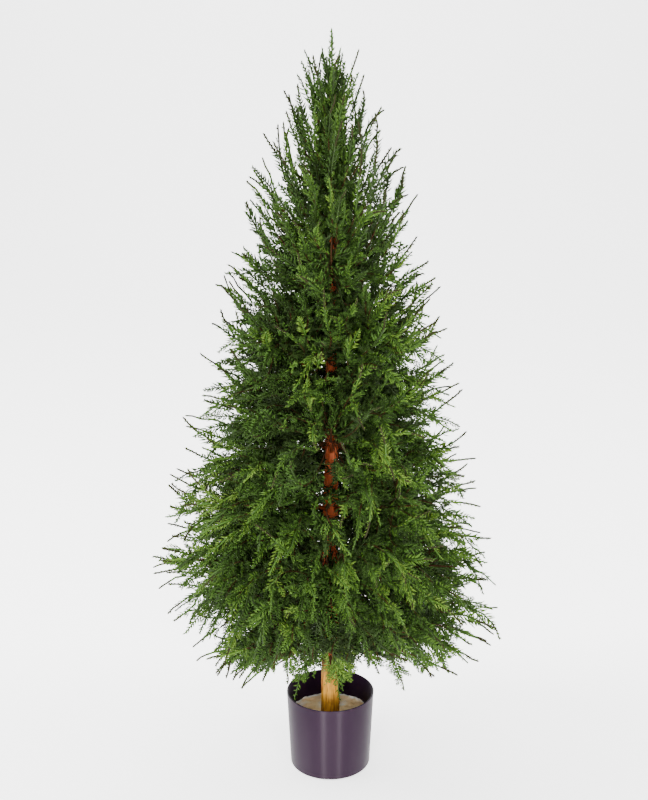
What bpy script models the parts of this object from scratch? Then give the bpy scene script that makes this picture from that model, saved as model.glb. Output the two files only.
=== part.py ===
"""Artificial cypress tree, 1.2 m tall, standing in a round plastic pot filled with cement.

Metres, +Z up. The origin is the centre of the pot's flat underside.
"""

import math
import random

import bmesh
import bpy
from mathutils import Matrix, Vector
from mathutils.bvhtree import BVHTree

# Overall size and the pot
TREE_HEIGHT = 1.200
POT_HEIGHT = 0.131
POT_RIM_RADIUS = 0.07275
POT_FOOT_RADIUS = 0.0665
POT_WALL = 0.0022
POT_FLOOR = 0.0030
POT_FOOT_ROUNDING = 0.0030
POT_STEPS = 48
FILL_DEPTH_BELOW_RIM = 0.0436
FILL_CROWNING = 0.0020
FILL_LEVEL_TO_TRUNK = 1.4

# How near touching pieces come, and how near two points are made one
CLEARANCE = 0.0003
WELD = 0.00001
SMOOTH_UNDER = math.radians(50)

# Trunk
FILL_TOP = POT_HEIGHT - FILL_DEPTH_BELOW_RIM
TRUNK_FOOT_RADIUS = 0.01525
TRUNK_TIP_RADIUS = 0.0040
TRUNK_TIP_HEIGHT = 0.950
TRUNK_TAPER_POWER = 1.3
TRUNK_BOW = 0.0035
TRUNK_POINTS = 11
TRUNK_SIDES = 12

# Crown outline: its widest place, its lowest sprays and how it narrows to both ends
CROWN_WIDEST_RADIUS = 0.278
CROWN_WIDEST_HEIGHT = 0.320
CROWN_LOWEST_HEIGHT = 0.130
UPPER_NARROWING = 0.62
LOWER_NARROWING = 2.2
OUTLINE_HALVINGS = 30

# Tiers: cones that leave the trunk one above another and rise more steeply towards the top
TIER_MASSES = (5, 5, 5, 4, 3, 3, 3)
LOWEST_TIER_HEIGHT = 0.215
HIGHEST_TIER_HEIGHT = 0.950
LOWEST_RISE = math.radians(-38)
HIGHEST_RISE = math.radians(72)
RISE_POWER = 0.6
TIER_SPACING_POWER = 1.366
FRONT = math.radians(-90)

# Boughs
BOUGH_SHARE = 0.32
SHORTEST_BOUGH = 0.034
BOUGH_ROOT_TO_TRUNK = 0.36
BOUGH_TIP_TO_ROOT = 0.62
BOUGH_ARCH = 0.05
BOUGH_POINTS = 4
BOUGH_SIDES = 6

# Foliage masses: the space between them, their stem, its two twigs and their core
SPACE_GAP = 0.0022
TRUNK_GAP = 0.0050
STEM_SHARE = 0.80
STEM_TO_BOUGH = 0.9
STEM_TIP_RADIUS = 0.0010
TWIG_FORK = 0.15
TWIG_SPREAD = 0.50
TWIG_REACH = 0.72
TWIG_RISE_SHARES = (0.4, 0.6)
TWIG_RADIUS = 0.0020
CORE_PLACE = 0.36
CORE_LENGTH = 0.36
CORE_WIDTH = 1.05
CORE_HEIGHT = 0.52
CORE_UNEVENNESS = 0.15
CORE_DRAWN_IN = 0.96

# Sprays: how many, where they leave the limbs and where they end
WHORL_SPRAYS = 8
WHORL_TURN = math.radians(137.5)
WHORL_WIDTH = 0.80
WHORL_HEIGHT = 0.40
WHORL_UNEVENNESS = 0.15
SPRAY_REACH = (0.94, 1.0)
SIDE_SPRAYS_FROM = 0.5
TWIG_SPRAY_SHARES = (0.35, 0.90)
STEM_SPRAY_SHARES = (0.30, 0.60)
LEADER_SHARE = 0.90
TOP_SPRAYS = 17
TOP_SPRAY_REACH = (0.85, 1.0)
TOP_LOWEST_TIP = 1.01
TOP_HIGHEST_TIP = 1.17
TOP_FIRST_FORK = 0.04
TOP_FORKS_SPAN = 0.80

# The shape of one spray, and the sizes and turns that are tried until it has room
SPRAY_SUNK = 0.0015
SPRAY_THICKNESS = 0.0018
SPRAY_TILT = 0.5
SPRAY_ROLL = math.radians(24)
TOP_SPRAY_ROLL = math.radians(75)
SPRAY_SIZES = (1.0, 0.85, 0.70)
SPRAY_WIDTHS = (0.56, 0.46, 0.36)
SPRAY_TURNS = tuple(math.radians(turn) for turn in (0, 20, -20, 40, -40, 60, -60))
FIRST_NOTCH = 0.26
LAST_NOTCH = 0.74
TOOTH_LEAN = 0.30
TIP_NARROWING = 0.8
MIDRIB_HALF_WIDTH = 0.10
SEED = 4107


def clear_scene():
    for obj in list(bpy.data.objects):
        bpy.data.objects.remove(obj, do_unlink=True)


def new_collection(name):
    collection = bpy.data.collections.new(name)
    bpy.context.scene.collection.children.link(collection)
    return collection


def principled(name, colour, roughness):
    material = bpy.data.materials.new(name)
    material.use_nodes = True
    shader = material.node_tree.nodes["Principled BSDF"]
    shader.inputs["Base Color"].default_value = (*colour, 1)
    shader.inputs["Roughness"].default_value = roughness
    shader.inputs["Metallic"].default_value = 0
    return material


def add_object(name, mesh, collection, material=None):
    obj = bpy.data.objects.new(name, mesh)
    collection.objects.link(obj)
    if material:
        obj.data.materials.clear()
        obj.data.materials.append(material)
    return obj


def finished(work, name):
    """The mesh of a bmesh, which is then freed."""
    mesh = bpy.data.meshes.new(name)
    work.to_mesh(mesh)
    work.free()
    return mesh


def evaluated_mesh(obj, name):
    """An object's mesh with its modifiers or its curve's bevel applied; the object is removed."""
    graph = bpy.context.evaluated_depsgraph_get()
    mesh = bpy.data.meshes.new_from_object(obj.evaluated_get(graph))
    mesh.name = name
    bpy.data.objects.remove(obj, do_unlink=True)
    return mesh


def weld_caps(mesh):
    """A curve's caps are loose: they are welded to its sides."""
    work = bmesh.new()
    work.from_mesh(mesh)
    bmesh.ops.remove_doubles(work, verts=work.verts, dist=WELD)
    bmesh.ops.recalc_face_normals(work, faces=work.faces)
    work.to_mesh(mesh)
    work.free()


def trunk_share(height):
    return min(1, max(0, (height - FILL_TOP) / (TRUNK_TIP_HEIGHT - FILL_TOP)))


def trunk_radius(height):
    narrowing = trunk_share(height) ** TRUNK_TAPER_POWER
    return TRUNK_FOOT_RADIUS + (TRUNK_TIP_RADIUS - TRUNK_FOOT_RADIUS) * narrowing


def trunk_centre(height):
    """The pole is nearly straight: it bows a few millimetres to +X on its way up."""
    return Vector((TRUNK_BOW * trunk_share(height) ** 2, 0, height))


def crown_reach(height):
    """How far from the axis the furthest tips lie at this height."""
    if height >= CROWN_WIDEST_HEIGHT:
        share = (TREE_HEIGHT - height) / (TREE_HEIGHT - CROWN_WIDEST_HEIGHT)
        return CROWN_WIDEST_RADIUS * max(share, 0) ** UPPER_NARROWING
    share = (CROWN_WIDEST_HEIGHT - height) / (CROWN_WIDEST_HEIGHT - CROWN_LOWEST_HEIGHT)
    return CROWN_WIDEST_RADIUS * (1 - min(share, 1) ** LOWER_NARROWING)


def cone(level):
    """Height on the axis and rise of the cone at a level, 0 for the lowest and 1 for the highest."""
    height = LOWEST_TIER_HEIGHT + (HIGHEST_TIER_HEIGHT - LOWEST_TIER_HEIGHT) * level
    rise = LOWEST_RISE + (HIGHEST_RISE - LOWEST_RISE) * level**RISE_POWER
    return height, rise


def on_cone(level, radius, turn):
    height, rise = cone(level)
    return Vector(
        (radius * math.cos(turn), radius * math.sin(turn), height + radius * math.tan(rise))
    )


def outline_radius(level):
    """Where the cone at this level meets the crown's outline, found by halving the interval."""
    height, rise = cone(level)
    near, far = 0, CROWN_WIDEST_RADIUS
    for _ in range(OUTLINE_HALVINGS):
        middle = (near + far) / 2
        if middle < crown_reach(height + middle * math.tan(rise)):
            near = middle
        else:
            far = middle
    return near


def tier_level(tier):
    return (tier / (len(TIER_MASSES) + 1)) ** TIER_SPACING_POWER


class Space:
    """The part of the crown that one mass keeps to: between two cones, and between two upright planes."""

    def __init__(self, tier, index):
        self.low = tier_level(tier)
        self.high = tier_level(tier + 1)
        self.level = (self.low + self.high) / 2
        self.half_width = math.pi / TIER_MASSES[tier]
        self.turn = FRONT + (tier % 2 + 2 * index) * self.half_width
        self.radius = outline_radius(self.level)
        self.bough_end = max(SHORTEST_BOUGH, BOUGH_SHARE * self.radius)

    def point(self, share_up, share_round, radius):
        level = self.low + (self.high - self.low) * share_up
        return on_cone(level, radius, self.turn + self.half_width * share_round)

    def holds(self, point):
        radius = math.hypot(point.x, point.y)
        for level, side in ((self.low, 1), (self.high, -1)):
            height, rise = cone(level)
            above = (point.z - height) * math.cos(rise) - radius * math.sin(rise)
            if above * side < SPACE_GAP:
                return False
        off = math.atan2(point.y, point.x) - self.turn
        off = abs((off + math.pi) % (2 * math.pi) - math.pi)
        if off > self.half_width or radius * math.sin(self.half_width - off) < SPACE_GAP:
            return False
        centre = trunk_centre(point.z)
        from_trunk = math.hypot(point.x - centre.x, point.y - centre.y)
        return from_trunk > trunk_radius(point.z) + TRUNK_GAP


class TopSpace:
    """The space above the highest cone, over the tip of the trunk."""

    def holds(self, point):
        height, rise = cone(tier_level(len(TIER_MASSES)))
        radius = math.hypot(point.x, point.y)
        above = (point.z - height) * math.cos(rise) - radius * math.sin(rise)
        return above > SPACE_GAP and point.z > TRUNK_TIP_HEIGHT + CLEARANCE


def turned_profile(name, profile, collection, material):
    """A solid of revolution about Z. The profile runs down its outer side, top to bottom."""
    work = bmesh.new()
    points = [work.verts.new((radius, 0, height)) for radius, height in profile]
    for first, second in zip(points, points[1:]):
        work.edges.new((first, second))
    obj = add_object(name, finished(work, name), collection, material)
    screw = obj.modifiers.new("Turn", "SCREW")
    screw.steps = screw.render_steps = POT_STEPS
    screw.use_merge_vertices = True
    screw.merge_threshold = WELD
    screw.use_smooth_shade = True
    return obj


def make_pot(collection, material):
    """A thin tapered bucket with a plain rim and a slightly rounded foot."""
    rounding = POT_FOOT_ROUNDING
    lip = POT_WALL / 2
    foot = [
        (POT_FOOT_RADIUS - rounding * (1 - math.cos(turn)), rounding * (1 - math.sin(turn)))
        for turn in (0, math.radians(45), math.radians(90))
    ]
    profile = [
        (0, POT_FLOOR),
        (POT_FOOT_RADIUS - POT_WALL, POT_FLOOR),
        (POT_RIM_RADIUS - POT_WALL, POT_HEIGHT - lip / 2),
        (POT_RIM_RADIUS - lip, POT_HEIGHT),
        (POT_RIM_RADIUS, POT_HEIGHT - lip / 2),
        *foot,
        (0, 0),
    ]
    return turned_profile("pot", profile, collection, material)


def make_fill(collection, material):
    """The cement that the trunk stands in: it fills the pot to its level, a little higher in the middle."""
    taper = (POT_RIM_RADIUS - POT_FOOT_RADIUS) / (POT_HEIGHT - POT_FLOOR)
    bottom = POT_FLOOR + CLEARANCE
    inner = POT_FOOT_RADIUS - POT_WALL - 2 * CLEARANCE
    edge = FILL_TOP - FILL_CROWNING
    profile = [
        (0, FILL_TOP),
        (TRUNK_FOOT_RADIUS * FILL_LEVEL_TO_TRUNK, FILL_TOP),
        (inner + taper * (edge - POT_FLOOR), edge),
        (inner, bottom),
        (0, bottom),
    ]
    return turned_profile("cement_fill", profile, collection, material)


def tube(name, points, radii, sides, collection, material=None):
    """A tapering limb: a curve with a round section, made a mesh with its caps welded on."""
    curve = bpy.data.curves.new(name, "CURVE")
    curve.dimensions = "3D"
    curve.bevel_depth = 1
    curve.bevel_resolution = sides // 2 - 2
    curve.use_fill_caps = True
    spline = curve.splines.new("POLY")
    spline.points.add(len(points) - 1)
    for place, point, radius in zip(spline.points, points, radii):
        place.co = (*point, 1)
        place.radius = radius
    mesh = evaluated_mesh(add_object(name + "_curve", curve, collection), name)
    weld_caps(mesh)
    mesh.shade_smooth()
    mesh.set_sharp_from_angle(angle=SMOOTH_UNDER)
    return add_object(name, mesh, collection, material)


def make_trunk(name, extra, collection, material=None):
    """The wooden pole, from a flat cut on the cement to its tip in the top of the crown."""
    foot = FILL_TOP + CLEARANCE - extra
    tip = TRUNK_TIP_HEIGHT + extra
    heights = [foot + (tip - foot) * i / (TRUNK_POINTS - 1) for i in range(TRUNK_POINTS)]
    points = [trunk_centre(height) for height in heights]
    radii = [trunk_radius(height) + extra for height in heights]
    points[0].xy = points[1].xy
    points[-1].xy = points[-2].xy
    return tube(name, points, radii, TRUNK_SIDES, collection, material)


def bough_line(space):
    """The points of a bough's centre line, from inside the trunk to where its mass begins."""
    points = []
    for i in range(BOUGH_POINTS):
        share = i / (BOUGH_POINTS - 1)
        point = on_cone(space.level, space.bough_end * share, space.turn)
        point.z += BOUGH_ARCH * space.bough_end * math.sin(math.pi * share)
        point += trunk_centre(point.z) * Vector((1 - share, 1 - share, 0))
        points.append(point)
    return points


def bough_radii(space):
    root = trunk_radius(cone(space.level)[0]) * BOUGH_ROOT_TO_TRUNK
    tip = root * BOUGH_TIP_TO_ROOT
    return [root + (tip - root) * i / (BOUGH_POINTS - 1) for i in range(BOUGH_POINTS)]


def make_bough(name, space, cutter, collection, material):
    """One limb, cut at its root to the trunk's surface."""
    bough = tube(name, bough_line(space), bough_radii(space), BOUGH_SIDES, collection, material)
    cut = bough.modifiers.new("Seat on the trunk", "BOOLEAN")
    cut.operation = "DIFFERENCE"
    cut.object = cutter
    return bough


def toothed_blade(name, teeth):
    """A spray of unit length along +X and unit width along Y, whose branchlets lean forward by turns."""
    sides = {1: [], -1: []}
    step = (LAST_NOTCH - FIRST_NOTCH) / (teeth - 1)
    for i in range(teeth):
        side = 1 if i % 2 else -1
        notch = FIRST_NOTCH + step * i
        spread = 0.5 * ((1 - notch) / (1 - FIRST_NOTCH)) ** TIP_NARROWING
        sides[side].append((notch, side * MIDRIB_HALF_WIDTH * (1 - notch)))
        sides[side].append((notch + TOOTH_LEAN * (1 - notch), side * spread))
    outline = [(0, 0), *sides[1], (1, 0), *reversed(sides[-1])]
    curve = bpy.data.curves.new(name, "CURVE")
    curve.dimensions = "2D"
    curve.fill_mode = "BOTH"
    curve.extrude = 0.5
    spline = curve.splines.new("POLY")
    spline.points.add(len(outline) - 1)
    for place, (x, y) in zip(spline.points, outline):
        place.co = (x, y, 0, 1)
    spline.use_cyclic_u = True
    mesh = evaluated_mesh(add_object(name + "_curve", curve, bpy.context.scene.collection), name)
    weld_caps(mesh)
    return mesh


def frame_facing(start, direction, outward, roll):
    """Axes at start: X along the direction and Z as near outward as it can be, then a roll about X."""
    along = direction.normalized()
    across = outward.cross(along).normalized()
    across = Matrix.Rotation(roll, 3, along) @ across
    axes = Matrix((along, across, along.cross(across))).transposed().to_4x4()
    return Matrix.Translation(start) @ axes


def twig_mesh(start, end, radius, tip_radius):
    """A three-sided tapering twig."""
    work = bmesh.new()
    span = end - start
    along = span.to_track_quat("Z", "Y").to_matrix().to_4x4()
    bmesh.ops.create_cone(
        work,
        cap_ends=True,
        segments=3,
        radius1=radius,
        radius2=tip_radius,
        depth=span.length,
        matrix=Matrix.Translation((start + end) / 2) @ along,
    )
    return finished(work, "twig")


def fits(mesh, matrix, space):
    """Whether a blade keeps to the space, tested at its corners and between each corner and the midrib."""
    for vert in mesh.vertices:
        for share in (1, 0.5):
            place = Vector((vert.co.x, vert.co.y * share, vert.co.z))
            if not space.holds(matrix @ place):
                return False
    return True


def core_mesh(centre, along, space, rng):
    """The dense inside of a mass: an uneven ball past the bough's tip, drawn in to keep to the space."""
    radius = centre.xy.length
    height = space.point(1, 0, radius).z - space.point(0, 0, radius).z
    sizes = (
        CORE_LENGTH * along.length,
        CORE_WIDTH * radius * math.sin(space.half_width),
        CORE_HEIGHT * height * math.cos(cone(space.level)[1]),
    )
    axes = frame_facing(centre, along, Vector((0, 0, 1)), 0) @ Matrix.Diagonal((*sizes, 1))
    work = bmesh.new()
    bmesh.ops.create_icosphere(work, subdivisions=1, radius=1, matrix=axes)
    for vert in work.verts:
        vert.co = centre.lerp(vert.co, rng.uniform(1 - CORE_UNEVENNESS, 1))
        while not space.holds(vert.co):
            vert.co = centre.lerp(vert.co, CORE_DRAWN_IN)
    while not all(space.holds((edge.verts[0].co + edge.verts[1].co) / 2) for edge in work.edges):
        for vert in work.verts:
            vert.co = centre.lerp(vert.co, CORE_DRAWN_IN)
    return finished(work, "core")


def has_room(mesh, grown):
    """Whether a blade cuts through none of those grown so far; if so, it joins them."""
    work = bmesh.new()
    work.from_mesh(mesh)
    tree = BVHTree.FromBMesh(work)
    work.free()
    if any(tree.overlap(other) for other in grown):
        return False
    grown.append(tree)
    return True


def grow_spray(root, target, roll, space, blades, grown):
    """A blade from a limb to the target, its root sunk in the limb, or nothing where none has room."""
    span = target - root
    outward = Vector((target.x, target.y, SPRAY_TILT * target.xy.length))
    if outward.length < CLEARANCE:
        outward.x = 1
    start = root - span.normalized() * SPRAY_SUNK
    for size in SPRAY_SIZES:
        for width in SPRAY_WIDTHS:
            for turn in SPRAY_TURNS:
                length = span.length * size + SPRAY_SUNK
                stretch = Matrix.Diagonal((length, length * width, SPRAY_THICKNESS, 1))
                matrix = frame_facing(start, span, outward, roll + turn) @ stretch
                for blade in blades:
                    if fits(blade, matrix, space):
                        leaf = blade.copy()
                        leaf.transform(matrix)
                        if has_room(leaf, grown):
                            return [leaf]
    return []


def main_body(mesh):
    """Keeps the body with the most faces: sealed hollows are filled and loose scraps dropped."""
    work = bmesh.new()
    work.from_mesh(mesh)
    bodies = []
    left = set(work.faces)
    while left:
        body = [left.pop()]
        for face in body:
            for edge in face.edges:
                new = [other for other in edge.link_faces if other in left]
                left.difference_update(new)
                body += new
        bodies.append(body)
    bodies.sort(key=len)
    scraps = [face for body in bodies[:-1] for face in body]
    bmesh.ops.delete(work, geom=scraps, context="FACES")
    work.to_mesh(mesh)
    work.free()


def fuse(name, stem, pieces, collection, material):
    """One union joins the stem with its twigs, core and sprays."""
    helpers = new_collection(name + "_pieces")
    for i, mesh in enumerate(pieces):
        add_object(f"{name}_piece_{i}", mesh, helpers)
    obj = add_object(name, stem, collection)
    union = obj.modifiers.new("Fuse", "BOOLEAN")
    union.operation = "UNION"
    union.operand_type = "COLLECTION"
    union.collection = helpers
    mesh = evaluated_mesh(obj, name)
    for piece in list(helpers.objects):
        bpy.data.objects.remove(piece, do_unlink=True)
    bpy.data.collections.remove(helpers)
    main_body(mesh)
    return add_object(name, mesh, collection, material)


def make_mass(name, space, blades, collection, material, rng):
    """One stem from the bough's tip that forks to both sides, with sprays spread round it like ribs."""
    start = bough_line(space)[-1]
    stem_end = on_cone(space.level, space.radius * STEM_SHARE, space.turn)
    first = start + (stem_end - start).normalized() * CLEARANCE
    stem = twig_mesh(first, stem_end, bough_radii(space)[-1] * STEM_TO_BOUGH, STEM_TIP_RADIUS)
    pieces = [core_mesh(first.lerp(stem_end, CORE_PLACE), stem_end - first, space, rng)]
    twigs = {}
    for side in (-1, 1):
        fork = first.lerp(stem_end, TWIG_FORK)
        end = space.point(rng.uniform(*TWIG_RISE_SHARES), side * TWIG_SPREAD, space.radius * TWIG_REACH)
        twigs[side] = (fork, end)
        pieces.append(twig_mesh(fork, end, TWIG_RADIUS, STEM_TIP_RADIUS))
    grown = []
    for i in range(WHORL_SPRAYS):
        round_stem = WHORL_TURN * i + rng.uniform(-WHORL_UNEVENNESS, WHORL_UNEVENNESS)
        aside, up = math.cos(round_stem), math.sin(round_stem)
        share_up = 0.5 + WHORL_HEIGHT * up
        level = space.low + (space.high - space.low) * share_up
        reach = outline_radius(level) * rng.uniform(*SPRAY_REACH)
        target = space.point(share_up, WHORL_WIDTH * aside, reach)
        if abs(aside) > SIDE_SPRAYS_FROM:
            root = Vector.lerp(*twigs[math.copysign(1, aside)], rng.uniform(*TWIG_SPRAY_SHARES))
        else:
            root = first.lerp(stem_end, rng.uniform(*STEM_SPRAY_SHARES))
        roll = SPRAY_ROLL * rng.uniform(-1, 1)
        pieces += grow_spray(root, target, roll, space, blades, grown)
    leader = on_cone(space.level, space.radius, space.turn)
    root = first.lerp(stem_end, LEADER_SHARE)
    pieces += grow_spray(root, leader, rng.uniform(-1, 1), space, blades, grown)
    return fuse(name, stem, pieces, collection, material)


def make_top_mass(name, blades, collection, material, rng):
    """The leader over the trunk's tip, with sprays that rise round it."""
    space = TopSpace()
    first = trunk_centre(TRUNK_TIP_HEIGHT) + Vector((0, 0, CLEARANCE))
    crown_tip = Vector((0, 0, TREE_HEIGHT))
    stem_end = first.lerp(crown_tip, STEM_SHARE)
    stem = twig_mesh(first, stem_end, TRUNK_TIP_RADIUS * STEM_TO_BOUGH, STEM_TIP_RADIUS)
    pieces = []
    grown = []
    for i in range(TOP_SPRAYS):
        share = i / TOP_SPRAYS
        height = TOP_LOWEST_TIP + (TOP_HIGHEST_TIP - TOP_LOWEST_TIP) * share
        turn = i * WHORL_TURN
        radius = crown_reach(height) * rng.uniform(*TOP_SPRAY_REACH)
        target = Vector((radius * math.cos(turn), radius * math.sin(turn), height))
        root = first.lerp(stem_end, TOP_FIRST_FORK + TOP_FORKS_SPAN * share)
        roll = TOP_SPRAY_ROLL * (i % 2) + SPRAY_ROLL * rng.uniform(-1, 1)
        pieces += grow_spray(root, target, roll, space, blades, grown)
    root = first.lerp(stem_end, LEADER_SHARE)
    pieces += grow_spray(root, crown_tip, 0, space, blades, grown)
    return fuse(name, stem, pieces, collection, material)


def main():
    clear_scene()
    tree = new_collection("Artificial cypress tree")
    cutters = new_collection("Cutters")
    cutters.hide_render = True

    plastic = principled("Pot plastic", (0.100, 0.071, 0.092), 0.35)
    cement = principled("Cement", (0.314, 0.246, 0.202), 0.9)
    wood = principled("Trunk wood", (0.337, 0.181, 0.038), 0.6)
    bark = principled("Bough wood", (0.210, 0.065, 0.025), 0.6)
    green = principled("Cypress green", (0.052, 0.082, 0.020), 0.55)

    make_pot(tree, plastic)
    make_fill(tree, cement)
    make_trunk("trunk", 0, tree, wood)
    seat = make_trunk("trunk_clearance", CLEARANCE, cutters)
    seat.hide_render = True
    seat.display_type = "WIRE"

    blades = [toothed_blade("spray_5", 5), toothed_blade("spray_4", 4)]
    for tier, masses in enumerate(TIER_MASSES):
        for index in range(masses):
            space = Space(tier, index)
            label = f"{tier + 1}_{index + 1}"
            rng = random.Random(SEED + 100 * tier + index)
            make_bough("bough_" + label, space, seat, tree, bark)
            make_mass("foliage_" + label, space, blades, tree, green, rng)
    make_top_mass("foliage_top", blades, tree, green, random.Random(SEED))


main()
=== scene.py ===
import math
import random
from collections import namedtuple

import bmesh
import bpy
import numpy as np
from mathutils import Matrix, Vector, noise


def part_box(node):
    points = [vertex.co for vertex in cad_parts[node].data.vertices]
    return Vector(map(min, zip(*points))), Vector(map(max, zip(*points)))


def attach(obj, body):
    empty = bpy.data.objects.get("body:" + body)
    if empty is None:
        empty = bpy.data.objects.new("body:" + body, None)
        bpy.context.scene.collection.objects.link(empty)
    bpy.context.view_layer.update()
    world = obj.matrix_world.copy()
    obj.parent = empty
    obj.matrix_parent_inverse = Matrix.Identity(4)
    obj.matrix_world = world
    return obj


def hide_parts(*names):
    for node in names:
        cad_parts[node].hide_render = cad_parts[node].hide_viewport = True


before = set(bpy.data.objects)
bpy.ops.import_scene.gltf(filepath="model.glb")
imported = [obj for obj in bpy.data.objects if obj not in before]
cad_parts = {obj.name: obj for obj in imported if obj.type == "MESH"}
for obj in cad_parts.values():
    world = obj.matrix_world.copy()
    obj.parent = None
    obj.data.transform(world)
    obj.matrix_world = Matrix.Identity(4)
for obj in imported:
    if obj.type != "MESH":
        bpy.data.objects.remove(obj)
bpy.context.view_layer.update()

BODY = "root"

# Sizes read from the frame, in metres
POT_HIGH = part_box("pot")[1]
FILL_LOW, FILL_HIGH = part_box("cement_fill")
TRUNK_LOW, TRUNK_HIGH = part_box("trunk")
TREE_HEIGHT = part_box("foliage_top")[1].z
POT_HEIGHT = POT_HIGH.z
POT_RIM_RADIUS = POT_HIGH.x
FILL_TOP = FILL_HIGH.z
TRUNK_FOOT_RADIUS = TRUNK_HIGH.y
TRUNK_TIP_HEIGHT = TRUNK_HIGH.z

# The pot: a thin tapered bucket of moulded plastic
POT_FOOT_RADIUS = 0.0665
POT_WALL = 0.0022
POT_FLOOR = 0.0030
POT_SIDES = 160

# The trunk's own taper and bow, as in the solids
TRUNK_TIP_RADIUS = 0.0040
TRUNK_TAPER_POWER = 1.3
TRUNK_BOW = 0.0035
TRUNK_SUNK = 0.0040

# The crown's rule, as the solids were grown: outline, tiers of cones, and the boughs on them
WIDEST_RADIUS = 0.278
WIDEST_HEIGHT = 0.320
LOWEST_HEIGHT = 0.130
UPPER_NARROWING = 0.62
LOWER_NARROWING = 2.2
OUTLINE_HALVINGS = 30
TIER_MASSES = (5, 5, 5, 4, 3, 3, 3)
TIER_HEIGHTS = (0.215, 0.950)
TIER_RISES = (math.radians(-38), math.radians(72))
RISE_POWER = 0.6
TIER_SPACING_POWER = 1.366
FRONT = math.radians(-90)
BOUGH_SHARE = 0.32
SHORTEST_BOUGH = 0.034
BOUGH_ROOT_TO_TRUNK = 0.36
BOUGH_TIP_TO_ROOT = 0.62
BOUGH_ARCH = 0.05
STEM_SHARE = 0.80
SEED = 4107

# How far the crown stands to the left of the trunk, and how far its lowest boughs bulge to the right
CROWN_SHIFT = 0.009
CROWN_SHIFT_HEIGHT = 0.60
LOW_BULGE = 0.024
LOW_BULGE_HEIGHT = 0.265
LOW_BULGE_HALF = 0.09

# How far sprays may pass the outline, how thin it gets at least, and how far they keep off the trunk
OUTLINE_SLACK = 0.012
OUTLINE_LEAST = 0.012
TRUNK_GAP = 0.002

# Twigs: one for each cell of the crown's surface and of its inside, reaching to a share of the outline
CELL = 0.041
REACH = (0.83, 0.99)
LONG_REACH = (1.00, 1.08)
LONG_SHARE = 0.42
INNER_CELL = 0.053
INNER_REACH = (0.50, 0.78)
IN_CELL = (0.1, 0.9)
TWIG_POINTS = 8
TWIG_CURVE = 0.5
TWIG_RADIUS = 0.0007
TWIG_LEAST = 0.7
TWIG_THICKENING = 2.0
TWIG_TIP_RADIUS = 0.0009
STEM_TIP_RADIUS = 0.0010
SHORT_WHIP = (0.002, 0.007)
LONG_WHIP = (0.016, 0.029)
WHIP_AT_MOST = 0.45
BARE_FROM = 0.0075
SPRAYS_A_PIECE = 1100

# Where on its mass's stem a surface twig and an inner one start, and how a low stem is shortened
STEM_START = 0.60
INNER_STEM_START = 0.40
START_SPREAD = 0.15
LAST_START = 0.95
STEM_SHORTENINGS = 8
STEM_SHORTENING = 0.8

# Which way twigs end: they hang from their cone, less so towards the top, and seldom lie level
TURN_SPREAD = 0.22
HANG_TURNS = (math.radians(-10), math.radians(55))
HANG_FADE = 1.6
LONG_HANG_SPREAD = 0.10
SELDOM_RISES = (math.radians(0), math.radians(34))
SIDEWAYS = 0.6
STAND_TURN = math.radians(24)
STAND_SHARE = 0.4
HANG_TURN = math.radians(34)

# Shoots straight from the trunk
SHOOT_STEP = 0.0060
SHOOT_STEP_SPREAD = (0.7, 1.3)
SHOOT_REACH = (0.40, 0.62)
SHOOTS_BELOW_TIERS = 0.01

# The top: heights of its twigs' tips, how far out these reach, and the leader over the trunk's tip
TOP_TWIGS = 110
TOP_TIPS = (1.00, 1.18)
TOP_LONG_SPREAD = (1.0, 1.16)
TOP_SHORT_SPREAD = (0.30, 0.85)
TOP_DROOP = 0.02
TOP_ROOTS_BELOW_TIP = 0.06
TOP_ROOTS = (-0.05, 0.85)
TOP_STEEPEST_DEGREES = 86
TOP_LEANING_DEGREES = 16
LEADER_OVER_TOP = 0.004
LEADER_BARE_SHARE = 0.62
LEADER_WHIP = 0.006

# A plume: short sprays on both sides of a twig's last stretch, and one at its end
PLUME_LENGTH = 0.088
BARE_ROOT_SHARE = 0.06
SIDE_STEP = 0.0070
INNER_STEP = 1.5
STEP_SPREAD = (0.8, 1.2)
SIDE_LENGTHS = (0.032, 0.045)
INNER_LENGTHS = (0.046, 0.066)
SIDE_TAPER = 0.45
SIDE_TURN = (math.radians(32), math.radians(52))
SIDE_ROLL_SPREAD = 0.60
SIDE_TWIST_SPREAD = 0.45
END_LENGTHS = (0.042, 0.058)
END_SHARE = 0.6
END_OVERLAP = 0.97
PLUME_ROLL = 0.8
END_ROLL = 1.2
STEM_SPRAYS = 16
STEM_SPRAYED = 0.6
STEM_SPRAY_ALONG = 0.6
STEM_SPRAY_OUT = 0.8
LEAST_DROOP = 0.06
LOW_DROOP = 0.26
DROOP_GONE_HEIGHT = 0.85

# How plumes change from this height to the tip, as shares: slimmer, finer and with shorter whips
SLIM_FROM_HEIGHT = 0.60
FINER_AT_TOP = 0.20
SHORTER_WHIP_AT_TOP = 0.65
LONGER_END_AT_TOP = 0.3
SHORTER_SIDE_AT_TOP = 0.35
LESS_SIDE_TURN_AT_TOP = 0.30

# One spray: a midrib with branchlets by turns on both sides, and a bare whip at its end
MIDRIB_TAPER = 0.15
MIDRIB_WAVE = 0.0011
WHIP_RING = 2
AXIS_DARKER = 2
SWAY = 0.14
TIP_SWAY = 0.34
LENGTHS_TRIED = 6
SHORTENING = 0.86

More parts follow.
